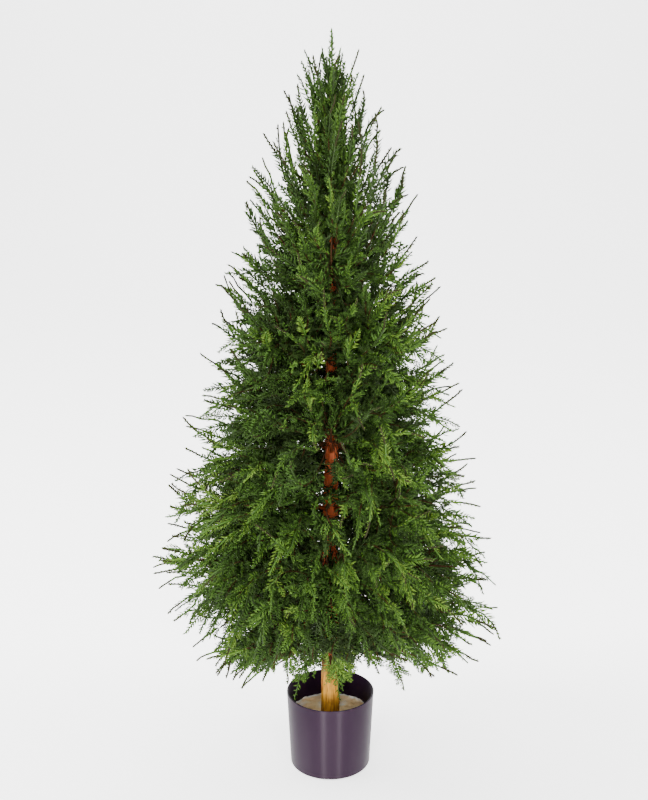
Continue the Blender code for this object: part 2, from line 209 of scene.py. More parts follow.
# Its branchlets: how they lean and curl, where they stand on the midrib, and how their size changes
BRANCHLET_FLATNESS = 0.85
BRANCHLET_LEAN = math.radians(45)
LEAN_SPREAD = 0.11
LIFT_SPREAD = 0.32
CURL_ALONG = 0.14
CURL_SPREAD = 0.06
STEP_JITTER = 0.3
FIRST_BRANCHLET = 0.04
LEAFED_RUN = 0.95
BARE_RUN = 0.12
ROOT_SIZE = 0.70
SWELL_RATE = 2.0
FULL_UNTIL = 0.40
TIP_FALL = 0.70
TIP_FALL_POWER = 1.2
LONGEST_SIZE = 1.1
SIZE_SPREAD = (0.80, 1.14)
RADIUS_SPREAD = (0.85, 1.1)

# The lowest that sprays hang over the pot's mouth, how the skirt lifts in front of it, and how wide
SKIRT_OVER_POT = 0.174
POT_MARGIN = 0.02
FRONT_LIFT = 0.55
FRONT_LIFT_MIDDLE = 0.02
FRONT_LIFT_HALF_WIDTH = 0.10
FRONT_LIFT_FADE = 0.12
SKIRT_UNEVENNESS = 0.026
SIDES_HIGHER = 0.010

# Where the photograph was taken from
CAMERA_PLACE = Vector((-0.0105, -2.0945, 1.2916))
CAMERA_DIP = math.radians(17.3)

# The spots of trunk seen through gaps in the crown's front, in millimetres: place and radius
GLIMPSES_MM = (
    (3, -20, 890, 8),
    (3, -20, 830, 8),
    (-7, -20, 697, 13),
    (-2, -20, 574, 15),
    (-4, -20, 554, 13),
    (8, -20, 566, 10),
    (-8, -20, 462, 11),
    (7, -20, 468, 8),
    (-11, -20, 376, 9),
    (9, -20, 380, 8),
    (-3, -16, 190, 10),
)
GLIMPSE_LEFT_IN = 0.04

GOLDEN_TURN = math.radians(137.5)
UP = Vector((0, 0, 1))


def metres(millimetres):
    return Vector([value / 1000 for value in millimetres])


GLIMPSES = [(metres(spot[:3]), spot[3] / 1000) for spot in GLIMPSES_MM]


def linear(hex_colour):
    """An sRGB hex colour as linear red, green, blue and alpha."""
    shares = [int(hex_colour[i : i + 2], 16) / 255 for i in (0, 2, 4)]
    curve = [s / 12.92 if s <= 0.04045 else ((s + 0.055) / 1.055) ** 2.4 for s in shares]
    return (*curve, 1.0)


def add_node(tree, kind, settings=None, links=None):
    """A node with its settings by attribute or socket, and links from other nodes' outputs."""
    node = tree.nodes.new(kind)
    for key, value in (settings or {}).items():
        if isinstance(key, str) and hasattr(node, key):
            setattr(node, key, value)
        else:
            node.inputs[key].default_value = value
    for key, output in (links or {}).items():
        tree.links.new(output, node.inputs[key])
    return node


def new_material(name, colour, settings):
    """A material whose shader has this base colour and these uniform values."""
    material = bpy.data.materials.new(name)
    material.use_nodes = True
    shader = material.node_tree.nodes["Principled BSDF"]
    for key, value in {"Base Color": linear(colour), "IOR": 1.45, **settings}.items():
        shader.inputs[key].default_value = value
    return material


def ramp_stops(ramp, stops):
    """Sets a colour ramp's stops from (place, hex colour) pairs."""
    elements = ramp.color_ramp.elements
    while len(elements) > 1:
        elements.remove(elements[-1])
    elements[0].position, elements[0].color = stops[0][0], linear(stops[0][1])
    for place, colour in stops[1:]:
        elements.new(place).color = linear(colour)


def between(ends, share):
    return ends[0] + (ends[1] - ends[0]) * share


# The crown's rule


def trunk_share(height):
    foot = TRUNK_LOW.z
    return min(1, max(0, (height - foot) / (TRUNK_TIP_HEIGHT - foot)))


def trunk_radius(height):
    return between((TRUNK_FOOT_RADIUS, TRUNK_TIP_RADIUS), trunk_share(height) ** TRUNK_TAPER_POWER)


def trunk_centre(height):
    return Vector((TRUNK_BOW * trunk_share(height) ** 2, 0, height))


def crown_reach(height):
    """How far from the axis the furthest tips lie at this height."""
    if height >= WIDEST_HEIGHT:
        share = (TREE_HEIGHT - height) / (TREE_HEIGHT - WIDEST_HEIGHT)
        return WIDEST_RADIUS * max(share, 0) ** UPPER_NARROWING
    share = (WIDEST_HEIGHT - height) / (WIDEST_HEIGHT - LOWEST_HEIGHT)
    return WIDEST_RADIUS * (1 - min(share, 1) ** LOWER_NARROWING)


def cone(level):
    """Height on the axis and rise of the cone at a level, 0 for the lowest and 1 for the highest."""
    return between(TIER_HEIGHTS, level), between(TIER_RISES, max(level, 0) ** RISE_POWER)


def round_axis(radius, turn, height):
    return Vector((radius * math.cos(turn), radius * math.sin(turn), height))


def on_cone(level, radius, turn):
    height, rise = cone(level)
    return round_axis(radius, turn, height + radius * math.tan(rise))


def outline_radius(level):
    """Where the cone at this level meets the crown's outline, found by halving the interval."""
    height, rise = cone(level)
    near, far = 0, WIDEST_RADIUS
    for _ in range(OUTLINE_HALVINGS):
        middle = (near + far) / 2
        if middle < crown_reach(height + middle * math.tan(rise)):
            near = middle
        else:
            far = middle
    return near


def tier_level(tier):
    return (tier / (len(TIER_MASSES) + 1)) ** TIER_SPACING_POWER


def outward(turn, rise):
    return Vector(
        (math.cos(turn) * math.cos(rise), math.sin(turn) * math.cos(rise), math.sin(rise))
    )


class Space:
    """The part of the crown that one mass of foliage fills, between two cones and two upright planes."""

    def __init__(self, tier, index):
        self.low = tier_level(tier)
        self.high = tier_level(tier + 1)
        self.level = (self.low + self.high) / 2
        self.half_width = math.pi / TIER_MASSES[tier]
        self.turn = FRONT + (tier % 2 + 2 * index) * self.half_width
        self.radius = outline_radius(self.level)
        self.bough_end = max(SHORTEST_BOUGH, BOUGH_SHARE * self.radius)
        self.bough_root = trunk_radius(cone(self.level)[0]) * BOUGH_ROOT_TO_TRUNK
        self.bough_tip = self.bough_root * BOUGH_TIP_TO_ROOT

    def place(self, share_up, share_round):
        """Level and turn at a share of the way up and round."""
        return between((self.low, self.high), share_up), self.turn + self.half_width * share_round


# Arrays of many small shapes


def unit(vectors):
    return vectors / np.maximum(np.linalg.norm(vectors, axis=-1, keepdims=True), 1e-9)


def square_to(vectors, along):
    """The part of each vector square to its unit direction, made unit length."""
    return unit(vectors - (vectors * along).sum(-1, keepdims=True) * along)


def many_tubes(paths, radii, sides):
    """Closed tapering tubes along paths (count, points, 3): a point at each end and rings between."""
    count, points, _ = paths.shape
    tangents = unit(np.gradient(paths, axis=1))
    overall = unit(paths[:, -1] - paths[:, 0])
    aside = np.where(np.abs(overall[:, 2:3]) < 0.8, np.array([[0, 0, 1.0]]), np.array([[1.0, 0, 0]]))
    u = square_to(np.repeat(aside[:, None], points, 1), tangents)
    v = np.cross(tangents, u)
    turns = np.arange(sides) * 2 * math.pi / sides
    ring = (
        np.cos(turns)[None, None, :, None] * u[:, 1:-1, None]
        + np.sin(turns)[None, None, :, None] * v[:, 1:-1, None]
    )
    rings = paths[:, 1:-1, None] + ring * radii[:, 1:-1, None, None]
    verts = np.concatenate([paths[:, :1], rings.reshape(count, -1, 3), paths[:, -1:]], axis=1)
    last = 1 + (points - 2) * sides
    faces = []
    for k in range(sides):
        n = (k + 1) % sides
        faces.append((0, 1 + n, 1 + k))
        for i in range(points - 3):
            a, b = 1 + i * sides, 1 + (i + 1) * sides
            faces.append((a + k, a + n, b + n))
            faces.append((a + k, b + n, b + k))
        faces.append((last - sides + k, last - sides + n, last))
    return many_copies(verts, np.array(faces))


def many_copies(verts, faces):
    """Joins shapes (count, points, 3) that share one list of triangles."""
    count, points, _ = verts.shape
    steps = (np.arange(count) * points)[:, None, None]
    return verts.reshape(-1, 3), (faces[None] + steps).reshape(-1, 3)


# A branchlet of unit length, like a keeled scale leaf: root, two shoulders and tip
BRANCHLET_POINTS = np.array([(0, 0, -0.3), (0.42, 1, 0.4), (0.42, -1, 0.4), (1, 0, -0.2)])
BRANCHLET_FACES = np.array([(0, 2, 1), (1, 2, 3), (0, 1, 3), (0, 3, 2)])


def many_branchlets(starts, along, aside, curl, lengths, radii):
    """Branchlets (count,): from a start, along a direction, bent by curl towards their tips."""
    over = np.cross(along, aside)
    x, y, z = (BRANCHLET_POINTS[:, i][None, :, None] for i in range(3))
    verts = (
        starts[:, None]
        + along[:, None] * lengths[:, None, None] * x
        + curl[:, None] * lengths[:, None, None] * x**2
        + aside[:, None] * radii[:, None, None] * y
        + over[:, None] * radii[:, None, None] * BRANCHLET_FLATNESS * z
    )
    return many_copies(verts, BRANCHLET_FACES)


# How one kind of spray is made: its usual length, its branchlets, and its midrib's points as shares
SprayKind = namedtuple(
    "SprayKind", "length branchlets branchlet_length branchlet_radius midrib midrib_radius"
)
SHORT_MIDRIB = (0, 0.15, 0.85, 1)
LONG_MIDRIB = (0, 0.05, 0.35, 0.62, 0.82, 0.97, 1)
SIDE_SPRAY = SprayKind(0.040, 13, 0.0140, 0.00142, SHORT_MIDRIB, 0.0009)
INNER_SPRAY = SprayKind(0.060, 12, 0.0200, 0.00225, SHORT_MIDRIB, 0.0009)
END_SPRAY = SprayKind(0.060, 22, 0.0142, 0.00158, LONG_MIDRIB, 0.0015)
TIP_SPRAY = SprayKind(0.060, 24, 0.0136, 0.00162, LONG_MIDRIB, 0.0018)
SPRAY_KINDS = (SIDE_SPRAY, INNER_SPRAY, END_SPRAY, TIP_SPRAY)


class Spray(namedtuple("Spray", "kind start along normal length bend whip tint")):
    """One spray: where it starts, its direction, the normal of its plane, its length, bend and whip."""

    def point(self, share):
        return self.start + (self.along * share + self.bend * share**2) * self.length


def spray_arrays(kind, sprays, seed):
    """Triangles of all sprays of one kind, and the tint of each triangle."""
    rng = np.random.default_rng(seed)
    count = len(sprays)
    _, *columns = zip(*sprays)
    start, along, normal, length, bend, whip, tint = (np.array(column) for column in columns)
    fineness = 1 - FINER_AT_TOP * np.array([slimness(s.start.z) for s in sprays])

    def path(share):
        """Points and unit tangents at shares (count, n) of each midrib."""
        s = share[..., None]
        points = start[:, None] + (along[:, None] * s + bend[:, None] * s**2) * length[:, None, None]
        return points, unit(along[:, None] + 2 * bend[:, None] * s)

    share = np.repeat(np.array(kind.midrib)[None], count, 0)
    wave = rng.normal(0, MIDRIB_WAVE, (*share.shape, 3)) * (share * (1 - share) * 4)[..., None]
    midribs, _ = path(share)
    taper = kind.midrib_radius * (1 - MIDRIB_TAPER * share)
    verts, faces = many_tubes(midribs + wave, taper, 3)
    a_midrib = len(faces) // count
    on_whip = ((faces[:a_midrib] - 1) // 3).min(1) >= WHIP_RING
    bare = whip > BARE_FROM
    axis_tint = np.maximum(tint - AXIS_DARKER, 0)
    tints = np.where(on_whip[None] & bare[:, None], WHIP_TINT, axis_tint[:, None]).ravel()

    shape = (count, kind.branchlets)
    steps = (np.arange(kind.branchlets) + 0.5) / kind.branchlets
    whip_share = (whip / length)[:, None]
    uneven = rng.uniform(-STEP_JITTER, STEP_JITTER, shape) / kind.branchlets
    run = LEAFED_RUN - BARE_RUN * whip_share
    share = np.clip(FIRST_BRANCHLET + run * (steps[None] + uneven), 0.02, 0.98)
    points, tangents = path(share)
    flat = square_to(np.repeat(normal[:, None], kind.branchlets, 1), tangents)
    aside = np.cross(flat, tangents) * np.where(np.arange(kind.branchlets) % 2, 1, -1)[None, :, None]
    lean = BRANCHLET_LEAN * (0.4 + 0.6 * fineness[:, None]) + rng.normal(0, LEAN_SPREAD, shape)
    lift = rng.normal(0, LIFT_SPREAD, shape)
    heading = unit(
        tangents * np.cos(lean)[..., None] + aside * np.sin(lean)[..., None] + flat * lift[..., None]
    )
    leafed = 1 - whip_share
    fall = np.clip((share - FULL_UNTIL * leafed) / ((1 - FULL_UNTIL) * leafed), 0, 1)
    swell = np.minimum(1, ROOT_SIZE + SWELL_RATE * share) * (1 - TIP_FALL * fall**TIP_FALL_POWER)
    scale = (fineness * np.minimum(LONGEST_SIZE, length / kind.length))[:, None]
    size = swell * scale * rng.uniform(*SIZE_SPREAD, shape)
    radii = kind.branchlet_radius * (0.70 + 0.30 * size) * rng.uniform(*RADIUS_SPREAD, shape)
    curl = tangents * CURL_ALONG + rng.normal(0, CURL_SPREAD, (*shape, 3))
    across = square_to(np.cross(flat, heading), heading)
    vectors = [each.reshape(-1, 3) for each in (points, heading, across, curl)]
    lengths = kind.branchlet_length * size
    more, more_faces = many_branchlets(*vectors, lengths.ravel(), radii.ravel())
    a_spray = len(more_faces) // count
    return (
        np.concatenate([verts, more]),
        np.concatenate([faces, more_faces + len(verts)]),
        np.concatenate([tints, np.repeat(tint, a_spray)]),
    )


def joined(arrays):
    """Several (points, triangles, tints) as one."""
    verts, faces, tints = zip(*arrays)
    starts = np.cumsum([0] + [len(some) for some in verts])
    moved = [some + start for some, start in zip(faces, starts)]
    return np.concatenate(verts), np.concatenate(moved), np.concatenate(tints)


def new_object(name, data):
    obj = bpy.data.objects.new(name, data)
    bpy.context.scene.collection.objects.link(obj)
    return obj


def mesh_object(name, verts, faces, tints=None):
    """A smooth mesh from arrays of points and triangles, each with its material's number."""
    mesh = bpy.data.meshes.new(name)
    mesh.vertices.add(len(verts))
    mesh.vertices.foreach_set("co", verts.astype(np.float32).ravel())
    mesh.loops.add(len(faces) * 3)
    mesh.loops.foreach_set("vertex_index", faces.astype(np.int32).ravel())
    mesh.polygons.add(len(faces))
    mesh.polygons.foreach_set("loop_start", np.arange(len(faces), dtype=np.int32) * 3)
    if tints is not None:
        mesh.polygons.foreach_set("material_index", tints.astype(np.int32))
    mesh.update(calc_edges=True)
    mesh.validate()
    return new_object(name, mesh)


# Growth: twigs from a mass's stem to its share of the outline, and sprays along them


def bezier(first, middle, last, count):
    """Points on the curve that leaves first towards middle and reaches last from there."""
    points = []
    for i in range(count):
        share = i / (count - 1)
        points.append(first.lerp(middle, share).lerp(middle.lerp(last, share), share))
    return points


def crown_axis(height):
    """The middle of the crown at a height: left of the trunk, but not at the top, nor at its lowest."""
    left = CROWN_SHIFT * min(1, (TREE_HEIGHT - height) / CROWN_SHIFT_HEIGHT)
    bulge = LOW_BULGE * max(0, 1 - abs(height - LOW_BULGE_HEIGHT) / LOW_BULGE_HALF)
    return Vector((bulge - left, 0, 0))


def above_skirt(point, hang):
    """Whether a point is above the crown's lower edge, which hang makes uneven."""
    over_pot = point.xy.length < POT_RIM_RADIUS + POT_MARGIN
    lowest = SKIRT_OVER_POT if over_pot else LOWEST_HEIGHT
    aside = abs(point.x - FRONT_LIFT_MIDDLE)
    middle = (FRONT_LIFT_HALF_WIDTH + FRONT_LIFT_FADE - aside) / FRONT_LIFT_FADE
    lift = SKIRT_OVER_POT - lowest + FRONT_LIFT * max(0, -point.y)
    return point.z > lowest + hang + lift * min(1, max(0, middle)) * (point.y < 0)


def clear_of_rest(point, hang):
    """Whether a spray's point lies in the crown's reach and clear of trunk, pot and fill."""
    radius = (point - crown_axis(point.z)).xy.length
    if point.z > TREE_HEIGHT or radius > max(crown_reach(point.z), OUTLINE_LEAST) + OUTLINE_SLACK:
        return False
    centre = trunk_centre(point.z)
    if math.hypot(point.x - centre.x, point.y - centre.y) < trunk_radius(point.z) + TRUNK_GAP:
        return point.z > TRUNK_TIP_HEIGHT
    return above_skirt(point, hang)


def in_glimpse(point):
    """Whether a point would hide one of the spots of trunk that show through the crown's front."""
    for place, radius in GLIMPSES:
        sight = (CAMERA_PLACE - place).normalized()
        apart = point - place
        along = apart.dot(sight)
        if along > 0 and (apart - sight * along).length < radius:
            return True
    return False


def pick_tint(point, tone, rng):
    """A spray's green: darker inside the crown and lighter outwards, as painted shade and painted light, but
    not in its slim top, darker low down as painted shade, and by its plume's tone.
    """
    depth = (point - crown_axis(point.z)).xy.length / max(crown_reach(point.z), 0.02)
    slim = min(1, SLIM_GREEN_RATE * slimness(point.z))
    low = max(0, 1 - point.z / PAINTED_SHADE_BELOW)
    # Painted shade and light: darker greens deep in the crown and low down, lighter ones at the outline
    painted_light_by_depth = (depth - DARKEST_DEPTH) * PAINTED_LIGHT_BY_DEPTH * (1 - slim)
    place = painted_light_by_depth + SLIM_GREEN * slim - LOW_PAINTED_SHADE * low + tone + rng.gauss(0, GREEN_SPREAD)
    return min(len(GREENS) - 1, max(0, round(place)))


def slimness(height):
    """How slim and upright plumes are: 0 in the lower crown and 1 at the tip."""
    return max(0, (height - SLIM_FROM_HEIGHT) / (TREE_HEIGHT - SLIM_FROM_HEIGHT))


def grow_spray(kind, start, along, normal, length, droop, whip, tone, rng, sprays):
    """Adds a spray if its points are clear, made shorter where the outline is near."""
    bend = Vector((0, 0, -droop * min(1, along.cross(UP).length)))
    sway = TIP_SWAY if kind is TIP_SPRAY else SWAY
    bend += Vector([rng.uniform(-sway, sway) for _ in range(3)])
    hang = abs(rng.gauss(0, SKIRT_UNEVENNESS)) + (SIDES_HIGHER if kind is SIDE_SPRAY else 0)
    left_in = rng.random() < GLIMPSE_LEFT_IN
    for _ in range(LENGTHS_TRIED):
        spray = Spray(kind, start, along, normal, length, bend, min(whip, WHIP_AT_MOST * length), 0)
        points = [spray.point(share) for share in (0.2, 0.6, 1.0)]
        if all(clear_of_rest(point, hang) for point in points[1:]):
            if left_in or not any(in_glimpse(point) for point in points):
                sprays.append(spray._replace(tint=pick_tint(points[2], tone, rng)))
            return
        length *= SHORTENING


def grow_twig(first, target, end_direction, droop, whip, inner, rng, twigs, sprays):
    """A curved twig whose last stretch is a plume: short sprays on both sides and one at its end."""
    side_kind, lengths = (INNER_SPRAY, INNER_LENGTHS) if inner else (SIDE_SPRAY, SIDE_LENGTHS)
    slim = slimness(target.z)
    span = target - first
    whip *= 1 - SHORTER_WHIP_AT_TOP * slim
    end_length = rng.uniform(*END_LENGTHS) * (1 + LONGER_END_AT_TOP * slim) + whip
    end_length = min(end_length, END_SHARE * span.length)
    wood_end = target - end_direction * end_length * END_OVERLAP
    middle = wood_end - end_direction * (wood_end - first).length * TWIG_CURVE
    points = bezier(first, middle, wood_end, TWIG_POINTS)
    if not all(above_skirt(point, 0) for point in points):
        return
    if in_glimpse(points[TWIG_POINTS // 2]) and in_glimpse(points[-1]):
        return
    root_radius = TWIG_RADIUS * (TWIG_LEAST + TWIG_THICKENING * span.length)
    twigs.append((points, root_radius, TWIG_TIP_RADIUS))
    tone = rng.gauss(0, TONE_SPREAD)
    total = sum((b - a).length for a, b in zip(points, points[1:]))
    roll = rng.uniform(-PLUME_ROLL, PLUME_ROLL)
    side = rng.choice((-1, 1))
    plume_start = max(BARE_ROOT_SHARE * total, total - PLUME_LENGTH)
    along_twig = plume_start
    while along_twig < total:
        share = along_twig / total * (TWIG_POINTS - 1)
        i = min(int(share), TWIG_POINTS - 2)
        place = points[i].lerp(points[i + 1], share - i)
        tangent = (points[i + 1] - points[i]).normalized()
        level = tangent.cross(UP)
        if level.length < 0.1:
            level = Vector((1, 0, 0))
        turned = Matrix.Rotation(roll + rng.gauss(0, SIDE_ROLL_SPREAD), 3, tangent)
        level = turned @ level.normalized()
        turn = rng.uniform(*SIDE_TURN) * (1 - LESS_SIDE_TURN_AT_TOP * slim)
        along = tangent * math.cos(turn) + level * side * math.sin(turn)
        twist = Matrix.Rotation(rng.gauss(0, SIDE_TWIST_SPREAD), 3, along)
        normal = twist @ along.cross(tangent).normalized()
        taper = 1 - SIDE_TAPER * (along_twig - plume_start) / (total - plume_start)
        length = rng.uniform(*lengths) * taper * (1 - SHORTER_SIDE_AT_TOP * slim)
        grow_spray(side_kind, place, along, normal, length, droop, 0, tone, rng, sprays)
        side = -side
        along_twig += SIDE_STEP * (INNER_STEP if inner else 1) * rng.uniform(*STEP_SPREAD)
    place, along = points[-1], end_direction
    normal = Matrix.Rotation(rng.uniform(-END_ROLL, END_ROLL), 3, along) @ square_aside(along)
    end_kind = TIP_SPRAY if whip > BARE_FROM else END_SPRAY
    grow_spray(end_kind, place, along, normal, end_length, droop * 0.5, whip, tone, rng, sprays)


def square_aside(vector):
    """A unit vector square to the given one."""
    helper = UP if abs(vector.normalized().z) < 0.8 else Vector((1, 0, 0))
    return vector.cross(helper).normalized()


def droop_at(height):
    """How far sprays bend down: most in the lower crown, hardly at the top."""
    return LEAST_DROOP + LOW_DROOP * max(0, 1 - height / DROOP_GONE_HEIGHT)


def pick_whip(long, rng):
    return rng.uniform(*(LONG_WHIP if long else SHORT_WHIP))


def stem(first, last, root):
    """A straight twig."""
    return bezier(first, first.lerp(last, 0.5), last, TWIG_POINTS), root, STEM_TIP_RADIUS


def places_in_cells(space, cell, rng):
    """A place in each cell of a mass's outer face: its level, turn and share of the way round."""
    low_edge, high_edge = (
        on_cone(level, outline_radius(level), 0) for level in (space.low, space.high)
    )
    rows = max(1, round((high_edge - low_edge).length / cell))
    columns = max(2, round(2 * space.half_width * space.radius / cell))
    for row in range(rows):
        for column in range(columns):
            share_up = (row + rng.uniform(*IN_CELL)) / rows
            share_round = 2 * (column + rng.uniform(*IN_CELL)) / columns - 1
            yield (*space.place(share_up, share_round), share_round)


def grow_mass(space, rng):
    """A mass's stem on from its bough, its twigs and its sprays."""
    bough_tip = on_cone(space.level, space.bough_end, space.turn)
    stem_end = on_cone(space.level, space.radius * STEM_SHARE, space.turn)
    for _ in range(STEM_SHORTENINGS):
        if not above_skirt(stem_end, 0):
            stem_end = bough_tip.lerp(stem_end, STEM_SHORTENING)
    twigs, sprays = [stem(bough_tip, stem_end, space.bough_tip)], []
    run = stem_end - bough_tip
    for i in range(STEM_SPRAYS):
        place = bough_tip + run * STEM_SPRAYED * (i + 0.3) / STEM_SPRAYS
        around = Matrix.Rotation(i * GOLDEN_TURN, 3, run) @ square_aside(run)
        along = (run.normalized() * STEM_SPRAY_ALONG + around * STEM_SPRAY_OUT).normalized()
        normal = along.cross(run).normalized()
        length = rng.uniform(*END_LENGTHS)
        grow_spray(INNER_SPRAY, place, along, normal, length, droop_at(place.z), 0, 0, rng, sprays)
    for inner, cell, start in ((False, CELL, STEM_START), (True, INNER_CELL, INNER_STEM_START)):
        for level, turn, share_round in places_in_cells(space, cell, rng):
            long = not inner and rng.random() < LONG_SHARE
            reaches = LONG_REACH if long else INNER_REACH if inner else REACH
            target = on_cone(level, outline_radius(level) * rng.uniform(*reaches), turn)
            target += crown_axis(target.z)
            if long:
                hang = rng.gauss(0, LONG_HANG_SPREAD)
            else:
                hang = rng.uniform(*HANG_TURNS) * max(0, 1 - HANG_FADE * slimness(target.z))
            rise = cone(level)[1] - hang
            at_side = abs(math.cos(turn)) >= SIDEWAYS
            if SELDOM_RISES[0] < rise < SELDOM_RISES[1] and not (long and at_side):
                rise += STAND_TURN if rng.random() < STAND_SHARE else -HANG_TURN
            direction = outward(turn + rng.gauss(0, TURN_SPREAD), rise)
            share = start * (1 - abs(share_round)) + rng.uniform(-START_SPREAD, START_SPREAD)
            first = bough_tip.lerp(stem_end, min(LAST_START, max(0, share)))
            whip = pick_whip(long, rng)
            grow_twig(first, target, direction, droop_at(target.z), whip, inner, rng, twigs, sprays)
    return twigs, sprays


def grow_top(rng):
    """The leader over the trunk's tip, its rising twigs and their sprays."""
    first = trunk_centre(TRUNK_TIP_HEIGHT)
    tip = Vector((0, 0, TREE_HEIGHT + LEADER_OVER_TOP))
    leader = first.lerp(tip, LEADER_BARE_SHARE)
    twigs, sprays = [stem(first, leader, TRUNK_TIP_RADIUS)], []
    for i in range(TOP_TWIGS):
        share = i / TOP_TWIGS
        height = between(TOP_TIPS, share)
        turn = i * GOLDEN_TURN
        long = i % 2 == 0
        spread = rng.uniform(*(TOP_LONG_SPREAD if long else TOP_SHORT_SPREAD))
        radius = crown_reach(height) * spread
        target = round_axis(radius, turn, height)
        lowest = trunk_centre(TRUNK_TIP_HEIGHT - TOP_ROOTS_BELOW_TIP)
        root = lowest.lerp(leader, max(0, between(TOP_ROOTS, share)))
        steepness = TOP_STEEPEST_DEGREES - TOP_LEANING_DEGREES * spread
        direction = outward(turn, math.radians(steepness))
        whip = pick_whip(long, rng)
        grow_twig(root, target, direction, TOP_DROOP, whip, False, rng, twigs, sprays)
    along, length, straight = (tip - leader).normalized(), (tip - leader).length, Vector((0, 0, 0))
    for normal in (Vector((1, 0, 0)), Vector((0, 1, 0))):
        sprays.append(Spray(TIP_SPRAY, leader, along, normal, length, straight, LEADER_WHIP, 3))
    return twigs, sprays


def grow_shoots(rng):
    """Short twigs straight from the trunk, which fill the crown's inside from bottom to top."""
    twigs, sprays = [], []
    low, high = TIER_HEIGHTS
    height = low - SHOOTS_BELOW_TIERS
    turn = FRONT
    while height < TRUNK_TIP_HEIGHT:
        level = max(0, (height - low) / (high - low))
        rise = cone(level)[1]
        first = trunk_centre(height) + outward(turn, 0) * trunk_radius(height) * 0.6
        reach = outline_radius(level) * rng.uniform(*SHOOT_REACH)
        target = on_cone(level, reach, turn)
        whip = pick_whip(False, rng)
        grow_twig(first, target, outward(turn, rise), droop_at(height), whip, True, rng, twigs, sprays)
        height += SHOOT_STEP * rng.uniform(*SHOOT_STEP_SPREAD)
        turn += GOLDEN_TURN
    return twigs, sprays


# Single low plumes in front and two at the left: where each starts and ends, in mm, and how full it is
HANGING_MM = (
    (-34, -30, 230, -60, -36, 138, 0.70),
    (-24, -24, 240, -28, -24, 170, 0.75),
    (-226, -30, 374, -287, -34, 392, 0.25),
    (-216, -60, 386, -275, -64, 398, 0.25),
    (2, -40, 250, 15, -42, 140, 1.00),
    (10, -38, 240, 20, -40, 154, 1.00),
    (16, -34, 240, 30, -36, 168, 0.90),
    (-150, -50, 255, -184, -50, 204, 0.45),
    (-115, -50, 235, -144, -50, 182, 0.45),
    (-85, -50, 230, -112, -50, 177, 0.45),
    (-68, -50, 230, -69, -50, 171, 0.35),
    (58, -50, 235, 76, -50, 189, 0.40),
    (100, -30, 215, 126, -30, 149, 0.45),
    (145, -50, 230, 161, -50, 182, 0.45),
    (170, -50, 245, 190, -50, 198, 0.45),
)
HANGING_SPRAYS = 16
HANGING_SPRAYED = 0.60
HANGING_WHIP = 0.018
FULL_HANGING_WHIP = 0.006
BARE_BELOW = 0.5
BRIGHT_ABOVE = 0.8
BRIGHT_TINTS = (3, 4, 4, 5)
DULL_TINTS = (1, 2, 3, 3)


def grow_hanging(rng):
    """The low plumes in front: a long spray each and shorter ones on both its sides."""
    sprays = []
    toward_front = Vector((0, -1, 0))
    for *ends, full in HANGING_MM:
        first, last = metres(ends[:3]), metres(ends[3:])
        along = (last - first).normalized()
        bare = full < BARE_BELOW
        bend = Vector((rng.uniform(-0.15, 0.15) if bare else 0, 0, -0.05))
        kind, whip = (TIP_SPRAY, HANGING_WHIP) if bare else (END_SPRAY, FULL_HANGING_WHIP)
        sprays.append(Spray(kind, first, along, toward_front, (last - first).length, bend, whip, 3))
        count = round(HANGING_SPRAYS * full)
        for i in range(count):
            share = HANGING_SPRAYED * i / count
            turn = (1 if i % 2 else -1) * rng.uniform(*SIDE_TURN) * 0.8
            way = Matrix.Rotation(turn, 3, toward_front) @ along
            facing = Vector((rng.uniform(-0.5, 0.5), -1, rng.uniform(-0.2, 0.6))).normalized()
            bend = Vector([rng.uniform(-0.10, 0.10) for _ in range(3)])
            length = rng.uniform(*SIDE_LENGTHS) * (1 - 0.5 * share) * min(1, 0.45 + 0.55 * full)
            tint = rng.choice(BRIGHT_TINTS if full > BRIGHT_ABOVE else DULL_TINTS)
            sprays.append(Spray(SIDE_SPRAY, first.lerp(last, share), way, facing, length, bend, 0, tint))
    return sprays


# The low fringe: plumes that hang from the crown's lower edge, all the way round
FRINGE_TWIGS = 46
FRINGE_RADII = (0.10, 0.22)
FRINGE_UNEVENNESS = (-0.004, 0.020)
FRINGE_DROP = 0.085
FRINGE_DROOP = 0.10
FRINGE_ROOT_SHARE = 0.72
FRINGE_DEGREES = (-75, -40)
FRINGE_SWING = 0.3


def lower_edge(radius):
    """The height of the crown's outline on its underside."""
    share = (1 - min(1, radius / WIDEST_RADIUS)) ** (1 / LOWER_NARROWING)
    return WIDEST_HEIGHT - (WIDEST_HEIGHT - LOWEST_HEIGHT) * share


def grow_fringe(rng):
    """Twigs that start inside the crown's underside and end below it, pointing steeply down."""
    twigs, sprays = [], []
    for i in range(FRINGE_TWIGS):
        turn = i * GOLDEN_TURN
        radius = rng.uniform(*FRINGE_RADII)
        end_height = lower_edge(radius) + rng.uniform(*FRINGE_UNEVENNESS)
        target = outward(turn, 0) * radius + Vector((0, 0, end_height))
        first = outward(turn, 0) * radius * FRINGE_ROOT_SHARE
        first += Vector((0, 0, target.z + FRINGE_DROP))
        turn += rng.gauss(0, FRINGE_SWING)
        direction = outward(turn, math.radians(rng.uniform(*FRINGE_DEGREES)))
        whip = pick_whip(i % 2, rng)
        grow_twig(first, target, direction, FRINGE_DROOP, whip, False, rng, twigs, sprays)
    return twigs, sprays


# Greens of moulded polyethylene sprays, dark to light, dealt from inside the crown out to its tips: the dark
# ones are painted shade inside the crown, the light ones painted light on its outline; and two browns of
# wire
GREENS = ("1c2a0b", "24390e", "2e4813", "3c5718", "4b631e", "576d29")
WHIP_TINT = len(GREENS)
WHIP_BROWN = "201f10"
TWIG_BROWN = "2a190c"

